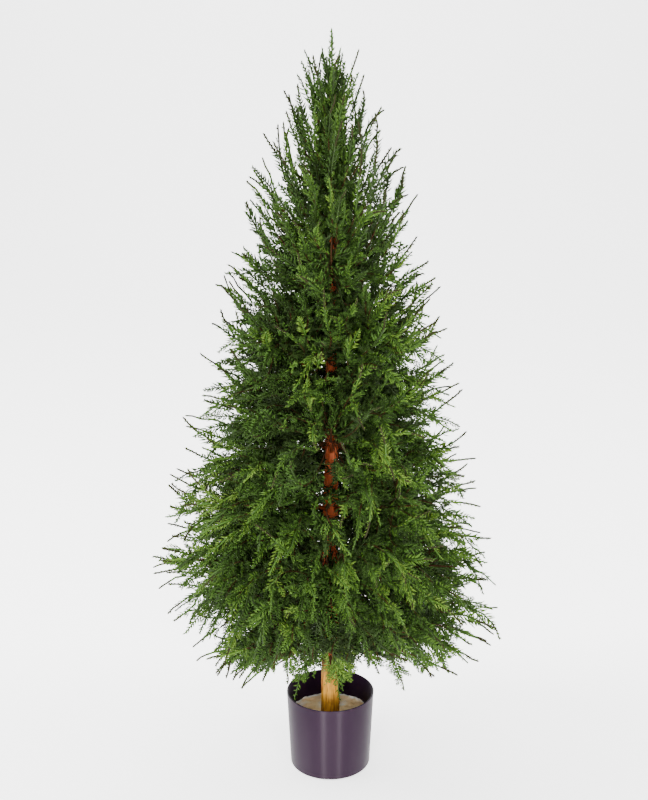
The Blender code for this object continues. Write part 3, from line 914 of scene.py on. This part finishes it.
# How a spray's green is picked: lighter outwards, which is painted shade inside the crown and painted light
# on its outline, one for the slim top, and darker below a height, which is painted shade under the crown
DARKEST_DEPTH = 0.44
PAINTED_LIGHT_BY_DEPTH = 6.2
SLIM_GREEN = 2.0
SLIM_GREEN_RATE = 1.3
PAINTED_SHADE_BELOW = 0.36
LOW_PAINTED_SHADE = 1.5
GREEN_SPREAD = 0.5
TONE_SPREAD = 0.6


def cypress_green(number, colour):
    """Moulded polyethylene: a soft, nearly matt green with the faint waxy gloss of its pressed scales."""
    name = f"Moulded polyethylene cypress green {number}"
    return new_material(name, colour, {"Roughness": 0.55, "Specular IOR Level": 0.15})


def coated_wire(name, colour):
    """Paper-wrapped wire dipped in stain: matt and dark, seen in gaps between sprays and as bare tips."""
    return new_material(name, colour, {"Roughness": 0.75, "Specular IOR Level": 0.06})


def dress(obj, materials, nodes):
    """Gives a piece its materials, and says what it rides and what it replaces."""
    for material in materials:
        obj.data.materials.append(material)
    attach(obj, BODY)
    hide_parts(*nodes)


def grow_crown():
    """All twigs, and the sprays in groups: a name, its sprays, and the nodes that they stand for."""
    all_twigs, groups = [], []
    for tier, masses in enumerate(TIER_MASSES):
        nodes, sprays, part = [], [], 1
        for index in range(masses):
            twigs, more = grow_mass(Space(tier, index), random.Random(SEED + 100 * tier + index))
            all_twigs += twigs
            sprays += more
            nodes.append(f"foliage_{tier + 1}_{index + 1}")
            if len(sprays) > SPRAYS_A_PIECE or index == masses - 1:
                groups.append((f"sprays_tier_{tier + 1}_{part}", sprays, nodes))
                nodes, sprays, part = [], [], part + 1
    top_twigs, sprays = grow_top(random.Random(SEED))
    groups.append(("sprays_top", sprays, ["foliage_top"]))
    inner_twigs, sprays = grow_shoots(random.Random(SEED + 1))
    groups.append(("sprays_inner", sprays, []))
    low_twigs, sprays = grow_fringe(random.Random(SEED + 3))
    groups.append(("sprays_low", sprays + grow_hanging(random.Random(SEED + 2)), []))
    return all_twigs + top_twigs + inner_twigs + low_twigs, groups


def make_crown():
    """Twigs and sprays of all masses, the sprays joined by tier."""
    twigs, groups = grow_crown()
    materials = [cypress_green(i + 1, colour) for i, colour in enumerate(GREENS)]
    materials.append(coated_wire("Bare whip brown", WHIP_BROWN))
    for number, (name, sprays, nodes) in enumerate(groups):
        arrays = []
        for kind in SPRAY_KINDS:
            some = [spray for spray in sprays if spray.kind is kind]
            if some:
                arrays.append(spray_arrays(kind, some, SEED + number))
        dress(mesh_object(name, *joined(arrays)), materials, nodes)
    paths, roots, tips = (np.array(column) for column in zip(*twigs))
    radii = between((roots[:, None], tips[:, None]), np.linspace(0, 1, TWIG_POINTS)[None])
    obj = mesh_object("twigs", *many_tubes(paths, radii, 4))
    obj.data.materials.append(coated_wire("Coated wire twig brown", TWIG_BROWN))
    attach(obj, BODY)


# Edit-mode modelling


def select_parts(piece, kind, test):
    """Selects only the vertices, edges or faces of the edited piece that pass a test."""
    kinds = ("VERT", "EDGE", "FACE")
    bpy.context.tool_settings.mesh_select_mode = [kind == each for each in kinds]
    bpy.ops.mesh.select_all(action="DESELECT")
    edited = bmesh.from_edit_mesh(piece.data)
    for part in (edited.verts, edited.edges, edited.faces)[kinds.index(kind)]:
        if test(part):
            part.select_set(True)
    edited.select_flush_mode()
    bmesh.update_edit_mesh(piece.data)


def flat_at(height):
    """A test for a part that lies at one height."""
    return lambda part: all(abs(vert.co.z - height) < 1e-5 for vert in part.verts)


def start_cylinder(name, sides, radius, low, high, cap="NGON"):
    """A cylinder between two heights, with its place in its mesh, in edit mode."""
    bpy.ops.object.select_all(action="DESELECT")
    bpy.ops.mesh.primitive_cylinder_add(
        vertices=sides,
        radius=radius,
        depth=high - low,
        location=(0, 0, (low + high) / 2),
        end_fill_type=cap,
    )
    piece = bpy.context.object
    piece.name = piece.data.name = name
    bpy.ops.object.transform_apply(location=True, rotation=True, scale=True)
    bpy.ops.object.mode_set(mode="EDIT")
    return piece


def finish_smooth(degrees):
    """Out of edit mode, smooth but for edges sharper than the angle."""
    bpy.ops.object.mode_set(mode="OBJECT")
    bpy.ops.object.shade_smooth_by_angle(angle=math.radians(degrees))


# Trunk and boughs with the bark's relief

TRUNK_SIDES = 56
TRUNK_CUTS = (16, 16)
TRUNK_RELIEF = 0.0020
BOUGH_SIDES = 12
BOUGH_CUTS = (16,)
BOUGH_RELIEF_SHARE = 0.10
BOUGH_OVERLAP = 1.03
RIDGES_AROUND = 5
RIDGES_ALONG = 16
RIDGE_SHARE = 0.55
SWELLS_ALONG = 9
SWELL_SHARE = 0.7

# Knots on the trunk: each is a ring with a dent in its middle, and longer than it is wide
KNOTS = 26
KNOTS_FROM_TO = (0.10, 0.85)
KNOT_WIDTHS = (0.004, 0.008)
KNOT_RISES = (0.0008, 0.0024)
KNOT_SQUEEZE = 0.8
RING_FALL = 2.2
DENT_FALL = 14
DENT_SHARE = 0.7


def knots(rng):
    """Places of small knots on the pole: height, turn, width and how far they stand out."""
    low, high = KNOTS_FROM_TO
    places = []
    for i in range(KNOTS):
        height = low + (high - low) * (i + rng.random()) / KNOTS
        places.append((height, i * GOLDEN_TURN, rng.uniform(*KNOT_WIDTHS), rng.uniform(*KNOT_RISES)))
    return places


def knot_rise(turn, height, radius, bumps):
    """How far the knots near a place on the pole raise it."""
    rise = 0
    for knot_height, knot_turn, width, out in bumps:
        off = (turn - knot_turn + math.pi) % (2 * math.pi) - math.pi
        apart = math.hypot(off * radius, (height - knot_height) * KNOT_SQUEEZE) / width
        ring, dent = math.exp(-RING_FALL * apart**2), math.exp(-DENT_FALL * apart**2)
        rise += out * (ring - DENT_SHARE * dent)
    return rise


def bark_limb(name, sides, cuts, line, size, relief, bumps=()):
    """A cylinder cut into rings, set along a line and raised by ridges, swellings and knots."""
    limb = start_cylinder(name, sides, 1, 0, 1, cap="TRIFAN")
    for count in cuts:
        select_parts(limb, "EDGE", lambda edge: abs(edge.verts[0].co.z - edge.verts[1].co.z) > 1e-6)
        bpy.ops.mesh.subdivide(number_cuts=count)
    bpy.ops.object.mode_set(mode="OBJECT")
    length = (line(1) - line(0)).length
    for vert in limb.data.vertices:
        share, reach = vert.co.z, vert.co.xy.length
        centre = line(share)
        if reach < 0.5:
            vert.co = centre
            continue
        along = (line(share + 0.01) - line(share - 0.01)).normalized()
        aside = square_aside(along)
        turn = math.atan2(vert.co.y, vert.co.x)
        way = aside * math.cos(turn) + along.cross(aside) * math.sin(turn)
        run = share * length
        where = Vector((way.x * RIDGES_AROUND, way.y * RIDGES_AROUND, run * RIDGES_ALONG + way.z))
        ridges = noise.fractal(where, 1.0, 2.0, 4)
        swell = noise.noise(Vector((way.x, way.y, run * SWELLS_ALONG)))
        radius = size(share)
        out = relief * (ridges * RIDGE_SHARE + swell * SWELL_SHARE)
        out += knot_rise(math.atan2(way.y, way.x), centre.z, radius, bumps)
        vert.co = centre + way * (radius + out)
    finish_smooth(60)
    return limb


# The pole turns from honey to red-brown over these heights, which moves its colour along the stops; the
# change is partly the stain and partly painted light and shade: paler at the foot against the shade of the
# pot's rim, darker above it against the front lamp
RED_AND_PAINTED_LIGHT_HEIGHTS = (0.118, 0.30)
RED_AND_PAINTED_LIGHT_SHIFT = (-0.300, 0.233)
STREAK_DRAWN_OUT = 0.10
STREAK_SHARE = 0.84
WOOD_PATCH = 0.018
PATCH_SHARE = 0.35
TRUNK_GRAIN = 0.003
BOUGH_GRAIN = 0.002
TRUNK_STOPS = (
    (0.24, "ac7a28"),
    (0.34, "986a22"),
    (0.41, "7e561a"),
    (0.48, "6a4214"),
    (0.58, "a0552e"),
    (0.80, "9c4a28"),
)
BOUGH_STOPS = ((0.30, "a84e24"), (0.55, "8c3e1a"), (0.85, "5a2912"))


def bark_wood(name, stops, grain, gloss):
    """Peeled and stained softwood pole: warm streaks along the grain, redder upwards, partly painted light
    and shade by height, satin varnish.
    """
    material = new_material(name, stops[0][1], {"Roughness": gloss, "Specular IOR Level": 0.16})
    tree, shader = material.node_tree, material.node_tree.nodes["Principled BSDF"]
    place = add_node(tree, "ShaderNodeTexCoord").outputs["Object"]
    drawn_out = {"Scale": (1, 1, STREAK_DRAWN_OUT)}
    along = add_node(tree, "ShaderNodeMapping", drawn_out, {"Vector": place}).outputs["Vector"]
    streaky = {"Scale": 1 / grain, "Detail": 6.0, "Roughness": 0.55, "Distortion": 0.60}
    streaks = add_node(tree, "ShaderNodeTexNoise", streaky, {"Vector": along}).outputs["Fac"]
    patchy = {"Scale": 1 / WOOD_PATCH, "Detail": 2.0}
    patches = add_node(tree, "ShaderNodeTexNoise", patchy, {"Vector": place}).outputs["Fac"]
    height = add_node(tree, "ShaderNodeSeparateXYZ", {}, {"Vector": place}).outputs["Z"]
    # Redder upwards: partly the stain, partly painted light at the foot against the pot rim's shade and
    # painted shade above it against the front lamp
    redder_and_painted_light = {
        "From Min": RED_AND_PAINTED_LIGHT_HEIGHTS[0],
        "From Max": RED_AND_PAINTED_LIGHT_HEIGHTS[1],
        "To Min": RED_AND_PAINTED_LIGHT_SHIFT[0],
        "To Max": RED_AND_PAINTED_LIGHT_SHIFT[1],
    }
    red_and_painted_light_climb = add_node(tree, "ShaderNodeMapRange", redder_and_painted_light, {"Value": height}).outputs["Result"]
    weighed = {"operation": "MULTIPLY_ADD", 1: STREAK_SHARE}
    shade = add_node(tree, "ShaderNodeMath", weighed, {0: streaks, 2: red_and_painted_light_climb}).outputs[0]
    weighed = {"operation": "MULTIPLY_ADD", 1: PATCH_SHARE}
    shade = add_node(tree, "ShaderNodeMath", weighed, {0: patches, 2: shade}).outputs[0]
    colours = add_node(tree, "ShaderNodeValToRGB", {}, {"Fac": shade})
    ramp_stops(colours, stops)
    tree.links.new(colours.outputs["Color"], shader.inputs["Base Color"])
    bump = add_node(tree, "ShaderNodeBump", {"Strength": 0.35, "Distance": 0.0006}, {"Height": streaks})
    tree.links.new(bump.outputs["Normal"], shader.inputs["Normal"])
    return material


def make_trunk():
    ends = (TRUNK_LOW.z - TRUNK_SUNK, TRUNK_TIP_HEIGHT)

    def line(share):
        return trunk_centre(between(ends, share))

    def size(share):
        return trunk_radius(between(ends, share))

    bumps = knots(random.Random(SEED))
    trunk = bark_limb("trunk_bark", TRUNK_SIDES, TRUNK_CUTS, line, size, TRUNK_RELIEF, bumps)
    wood = bark_wood("Stained and varnished pole wood", TRUNK_STOPS, TRUNK_GRAIN, 0.60)
    dress(trunk, [wood], ["trunk"])


def bough_limb(space, name):
    """One bough's bark: from the trunk out along its cone, arched a little, to where its mass begins."""

    def line(share):
        point = on_cone(space.level, space.bough_end * share * BOUGH_OVERLAP, space.turn)
        point.z += BOUGH_ARCH * space.bough_end * math.sin(math.pi * min(1, max(0, share)))
        return point + trunk_centre(point.z) * Vector((1 - share, 1 - share, 0))

    def size(share):
        return between((space.bough_root, space.bough_tip), share)

    relief = BOUGH_RELIEF_SHARE * space.bough_tip
    return bark_limb(name, BOUGH_SIDES, BOUGH_CUTS, line, size, relief)


def make_boughs():
    nodes, limbs = [], []
    for tier, masses in enumerate(TIER_MASSES):
        for index in range(masses):
            nodes.append(f"bough_{tier + 1}_{index + 1}")
            limbs.append(bough_limb(Space(tier, index), f"bark_{tier + 1}_{index + 1}"))
    bpy.ops.object.select_all(action="DESELECT")
    for limb in limbs:
        limb.select_set(True)
    boughs = limbs[0]
    bpy.context.view_layer.objects.active = boughs
    bpy.ops.object.join()
    boughs.name = boughs.data.name = "boughs_bark"
    wood = bark_wood("Reddish stained bough wood", BOUGH_STOPS, BOUGH_GRAIN, 0.55)
    dress(boughs, [wood], nodes)


# Pot and fill

RIM_ROUNDING = 0.0009
FOOT_ROUNDING = 0.0026
FLOW_PATCH = 0.030
FLOW_DRAWN_OUT = 0.25
FLOW_RANGE = (0.2, 0.8)
FLOW_ROUGHNESS = (0.42, 0.46)

# The moulded skin's grain, really under half a millimetre, is drawn coarser so that it shows
SKIN_GRAIN = 0.0014


def pot_plastic():
    """Injection-moulded polypropylene: dark plum, satin, drawn upwards so that lights smear into streaks."""
    gloss = {
        "IOR": 1.49,
        "Specular IOR Level": 0.17,
        "Specular Tint": linear("fff3f9"),
        "Sheen Weight": 0.045,
        "Sheen Roughness": 0.35,
        "Anisotropic": 0.95,
        "Anisotropic Rotation": 0.25,
    }
    material = new_material("Plum injection-moulded polypropylene", "190b1a", gloss)
    tree, shader = material.node_tree, material.node_tree.nodes["Principled BSDF"]
    round_pot = add_node(tree, "ShaderNodeTangent", {"direction_type": "RADIAL", "axis": "Z"})
    tree.links.new(round_pot.outputs["Tangent"], shader.inputs["Tangent"])
    place = add_node(tree, "ShaderNodeTexCoord").outputs["Object"]
    drawn_out = {"Scale": (1, 1, FLOW_DRAWN_OUT)}
    upwards = add_node(tree, "ShaderNodeMapping", drawn_out, {"Vector": place}).outputs["Vector"]
    cloudy = {"Scale": 1 / FLOW_PATCH, "Detail": 1.0}
    flow = add_node(tree, "ShaderNodeTexNoise", cloudy, {"Vector": upwards}).outputs["Fac"]
    to_gloss = {
        "From Min": FLOW_RANGE[0],
        "From Max": FLOW_RANGE[1],
        "To Min": FLOW_ROUGHNESS[0],
        "To Max": FLOW_ROUGHNESS[1],
    }
    roughness = add_node(tree, "ShaderNodeMapRange", to_gloss, {"Value": flow}).outputs["Result"]
    tree.links.new(roughness, shader.inputs["Roughness"])
    grained = {"Scale": 1 / SKIN_GRAIN, "Detail": 2.0}
    skin = add_node(tree, "ShaderNodeTexNoise", grained, {"Vector": place}).outputs["Fac"]
    bump = add_node(tree, "ShaderNodeBump", {"Strength": 0.12, "Distance": 0.00012}, {"Height": skin})
    tree.links.new(bump.outputs["Normal"], shader.inputs["Normal"])
    return material


def make_pot():
    """A cylinder widened to the rim, hollowed by an inset and an extrusion, its edges rounded."""
    pot = start_cylinder("pot_shell", POT_SIDES, POT_FOOT_RADIUS, 0, POT_HEIGHT)
    flare = POT_RIM_RADIUS / POT_FOOT_RADIUS
    select_parts(pot, "FACE", flat_at(POT_HEIGHT))
    bpy.ops.transform.resize(value=(flare, flare, 1), center_override=(0, 0, POT_HEIGHT))
    bpy.ops.mesh.inset(thickness=POT_WALL, depth=0)
    sink = (0, 0, POT_FLOOR - POT_HEIGHT)
    bpy.ops.mesh.extrude_region_move(TRANSFORM_OT_translate={"value": sink})
    taper = (POT_FOOT_RADIUS - POT_WALL) / (POT_RIM_RADIUS - POT_WALL)
    bpy.ops.transform.resize(value=(taper, taper, 1), center_override=(0, 0, POT_FLOOR))
    at_rim = flat_at(POT_HEIGHT)

    def rim_circle(edge):
        first, last = (vert.co.xy.length for vert in edge.verts)
        return at_rim(edge) and abs(first - last) < 1e-5

    select_parts(pot, "EDGE", rim_circle)
    bpy.ops.mesh.bevel(offset=RIM_ROUNDING, segments=4, affect="EDGES")
    select_parts(pot, "EDGE", flat_at(0))
    bpy.ops.mesh.bevel(offset=FOOT_ROUNDING, segments=5, affect="EDGES")
    finish_smooth(40)
    dress(pot, [pot_plastic()], ["pot"])


FILL_EDGE_HEIGHT = FILL_TOP - 0.0020
FILL_TAPER = (POT_RIM_RADIUS - POT_FOOT_RADIUS) / (POT_HEIGHT - POT_FLOOR)
FILL_EDGE = POT_FOOT_RADIUS - POT_WALL + FILL_TAPER * (FILL_EDGE_HEIGHT - POT_FLOOR) - 0.0001
FILL_FOOT = POT_FOOT_RADIUS - POT_WALL - 0.0006
FILL_SIDES = 220
FILL_RINGS = 70

# A small arched scrape in the cement to the right of the trunk: its middle, radius, width and depth
SCRAPE_PLACE = Vector((0.0208, -0.0125, 0))
SCRAPE_RADIUS = 0.0042
SCRAPE_WIDTH = 0.0008
SCRAPE_DEPTH = 0.0022

# Heights and spacing of the cement's roughness, waves, collar round the trunk and ragged edge
ROUGH_HEIGHT = 0.0016
WAVE_HEIGHT = 0.0013
COLLAR_HEIGHT = 0.0012
COLLAR_WIDTH = 0.004
RAGGED_HEIGHT = 0.0022
RAGGED_FROM = 0.90
ROUGH_A_METRE = 110
WAVES_A_METRE = 30
CRUMBS_A_METRE = 120

# The cement's patches, its sand, drawn a little coarser than real so that it shows, and dust at the wall
CEMENT_PATCH = 0.022
SAND_GRAIN = 0.0012
SAND_SHARE = 0.45
DUST_WIDTH = 0.006
DUST_SHARE = 0.32
CEMENT_STOPS = ((0.48, "dcb880"), (0.60, "f2d098"), (0.78, "f8deb0"), (1.00, "fffaf0"))


def cement():
    """Trowelled cement gone dry: warm grey, matt, with sand, and pale dust at the wall."""
    material = new_material("Dry trowelled cement", "98887c", {"Roughness": 0.92, "IOR": 1.5})
    tree, shader = material.node_tree, material.node_tree.nodes["Principled BSDF"]
    place = add_node(tree, "ShaderNodeTexCoord").outputs["Object"]
    patchy = {"Scale": 1 / CEMENT_PATCH, "Detail": 4.0}
    patches = add_node(tree, "ShaderNodeTexNoise", patchy, {"Vector": place}).outputs["Fac"]
    sandy = {"Scale": 1 / SAND_GRAIN, "Detail": 3.0}
    sand = add_node(tree, "ShaderNodeTexNoise", sandy, {"Vector": place}).outputs["Fac"]
    weighed = {"operation": "MULTIPLY_ADD", 1: SAND_SHARE}
    shade = add_node(tree, "ShaderNodeMath", weighed, {0: sand, 2: patches}).outputs[0]
    flat = add_node(tree, "ShaderNodeMapping", {"Scale": (1, 1, 0)}, {"Vector": place}).outputs["Vector"]
    length = {"operation": "LENGTH"}
    radius = add_node(tree, "ShaderNodeVectorMath", length, {"Vector": flat}).outputs["Value"]
    at_wall = {
        "From Min": FILL_EDGE - DUST_WIDTH,
        "From Max": FILL_EDGE,
        "To Min": 0.0,
        "To Max": DUST_SHARE,
    }
    dust = add_node(tree, "ShaderNodeMapRange", at_wall, {"Value": radius}).outputs["Result"]
    shade = add_node(tree, "ShaderNodeMath", {}, {0: shade, 1: dust}).outputs[0]
    colours = add_node(tree, "ShaderNodeValToRGB", {}, {"Fac": shade})
    ramp_stops(colours, CEMENT_STOPS)
    tree.links.new(colours.outputs["Color"], shader.inputs["Base Color"])
    bump = add_node(tree, "ShaderNodeBump", {"Strength": 0.6, "Distance": 0.0005}, {"Height": sand})
    tree.links.new(bump.outputs["Normal"], shader.inputs["Normal"])
    return material


def cement_height(x, y):
    """The cement's rough top: heaped a little round the trunk, ragged at the wall, with one scrape."""
    radius = math.hypot(x, y)
    share = radius / FILL_EDGE
    rough = noise.fractal(Vector((x * ROUGH_A_METRE, y * ROUGH_A_METRE, 3.1)), 1.0, 2.1, 5) * ROUGH_HEIGHT
    wave = noise.noise(Vector((x * WAVES_A_METRE, y * WAVES_A_METRE, 8.4))) * WAVE_HEIGHT
    collar = COLLAR_HEIGHT * math.exp(-(((radius - TRUNK_FOOT_RADIUS) / COLLAR_WIDTH) ** 2))
    crumbs = 0.4 + noise.noise(Vector((x * CRUMBS_A_METRE, y * CRUMBS_A_METRE, 1.7)))
    ragged = RAGGED_HEIGHT * max(0, share - RAGGED_FROM) * 10 * crumbs
    apart = math.hypot(x - SCRAPE_PLACE.x, y - SCRAPE_PLACE.y) - SCRAPE_RADIUS
    arch = max(0, min(1, (y - SCRAPE_PLACE.y) / SCRAPE_RADIUS + 0.6))
    scrape = SCRAPE_DEPTH * arch * math.exp(-((apart / SCRAPE_WIDTH) ** 2))
    return FILL_EDGE_HEIGHT + 0.0006 + rough + wave + collar + ragged - scrape


def make_fill():
    """A plug as wide as the pot inside, its top inset ring by ring and then roughened."""
    fill = start_cylinder("cement_top", FILL_SIDES, FILL_EDGE, FILL_LOW.z, FILL_EDGE_HEIGHT)
    select_parts(fill, "FACE", flat_at(FILL_LOW.z))
    narrowing = FILL_FOOT / FILL_EDGE
    bpy.ops.transform.resize(value=(narrowing, narrowing, 1), center_override=(0, 0, FILL_LOW.z))
    select_parts(fill, "FACE", flat_at(FILL_EDGE_HEIGHT))
    for _ in range(FILL_RINGS - 1):
        bpy.ops.mesh.inset(thickness=FILL_EDGE / FILL_RINGS, depth=0)
    bpy.ops.mesh.poke()
    bpy.ops.object.mode_set(mode="OBJECT")
    for vert in fill.data.vertices:
        if vert.co.z > FILL_EDGE_HEIGHT - 1e-5:
            vert.co.z = cement_height(vert.co.x, vert.co.y)
    finish_smooth(60)
    dress(fill, [cement()], ["cement_fill"])


# Floor, light and camera

PAPER_GLOW = 1.42
WORLD_GLOW = 0.42
SWEEP_HALF_WIDTH = 9.0
SWEEP_FRONT = -6.0
SWEEP_BACK = 5.0
SWEEP_CURVE = 2.0
SWEEP_TOP = 7.0
SENSOR_WIDTH = 36.0
LENS = 63.0

# Area lights: name, place, what it is aimed at, width, height and power
LIGHTS = (
    ("low_strip_left", (-0.73, -2.39, 0.45), (0, 0, 0.1), 0.08, 0.8, 84),
    ("low_strip_right", (0.97, -2.31, 0.45), (0, 0, 0.1), 0.08, 0.8, 74),
    ("overhead_left", (-2.1, -0.2, 2.6), (0, 0, 0.5), 1.2, 1.2, 250),
    ("overhead_right", (2.0, -0.1, 2.6), (0, 0, 0.5), 1.2, 1.2, 160),
    ("front", (0.0, -2.7, 1.55), (0, 0, 0.2), 1.6, 0.8, 60),
    ("backdrop_wash", (0, 1.2, 4.2), (0, 5.0, 0.6), 6.0, 1.0, 460),
)


def make_stage():
    """A pale seamless sweep: a plane whose far edge is spun upwards and drawn on to the top."""
    far = SWEEP_BACK - SWEEP_CURVE
    bpy.ops.object.select_all(action="DESELECT")
    bpy.ops.mesh.primitive_plane_add(size=1, location=(0, (SWEEP_FRONT + far) / 2, 0))
    sweep = bpy.context.object
    sweep.name = sweep.data.name = "studio_sweep"
    sweep.scale = (2 * SWEEP_HALF_WIDTH, far - SWEEP_FRONT, 1)
    bpy.ops.object.transform_apply(location=True, rotation=True, scale=True)
    bpy.ops.object.mode_set(mode="EDIT")
    select_parts(sweep, "EDGE", lambda edge: all(abs(vert.co.y - far) < 1e-4 for vert in edge.verts))
    bpy.ops.mesh.spin(steps=16, angle=-math.pi / 2, center=(0, far, SWEEP_CURVE), axis=(1, 0, 0))
    highest = max(vert.co.z for vert in bmesh.from_edit_mesh(sweep.data).verts)
    select_parts(sweep, "EDGE", flat_at(highest))
    bpy.ops.mesh.extrude_edges_move(TRANSFORM_OT_translate={"value": (0, 0, SWEEP_TOP - SWEEP_CURVE)})
    finish_smooth(40)
    glow = {"Roughness": 0.9, "Emission Color": (1, 1, 1, 1), "Emission Strength": PAPER_GLOW}
    sweep.data.materials.append(new_material("Studio paper", "e6e6e6", glow))


def area_light(name, location, target, size, size_y, power):
    data = bpy.data.lights.new(name, "AREA")
    data.shape = "RECTANGLE"
    data.size, data.size_y, data.energy = size, size_y, power
    light = new_object(name, data)
    light.location = location
    aim = Vector(target) - Vector(location)
    light.rotation_euler = aim.to_track_quat("-Z", "Y").to_euler()


def make_light():
    world = bpy.context.scene.world or bpy.data.worlds.new("Studio")
    bpy.context.scene.world = world
    world.use_nodes = True
    backdrop = world.node_tree.nodes["Background"]
    backdrop.inputs["Color"].default_value = (1, 1, 1, 1)
    backdrop.inputs["Strength"].default_value = WORLD_GLOW
    for light in LIGHTS:
        area_light(*light)


def make_camera():
    """Above and in front of the tree, looking down a little, as the photograph was taken."""
    data = bpy.data.cameras.new("camera")
    data.sensor_width = SENSOR_WIDTH
    data.lens = LENS
    data.clip_end = 100
    camera = new_object("camera", data)
    camera.location = CAMERA_PLACE
    camera.rotation_euler = (math.pi / 2 - CAMERA_DIP, 0, 0)
    bpy.context.scene.camera = camera


make_pot()
make_fill()
make_trunk()
make_boughs()
make_crown()
make_stage()
make_light()
make_camera()
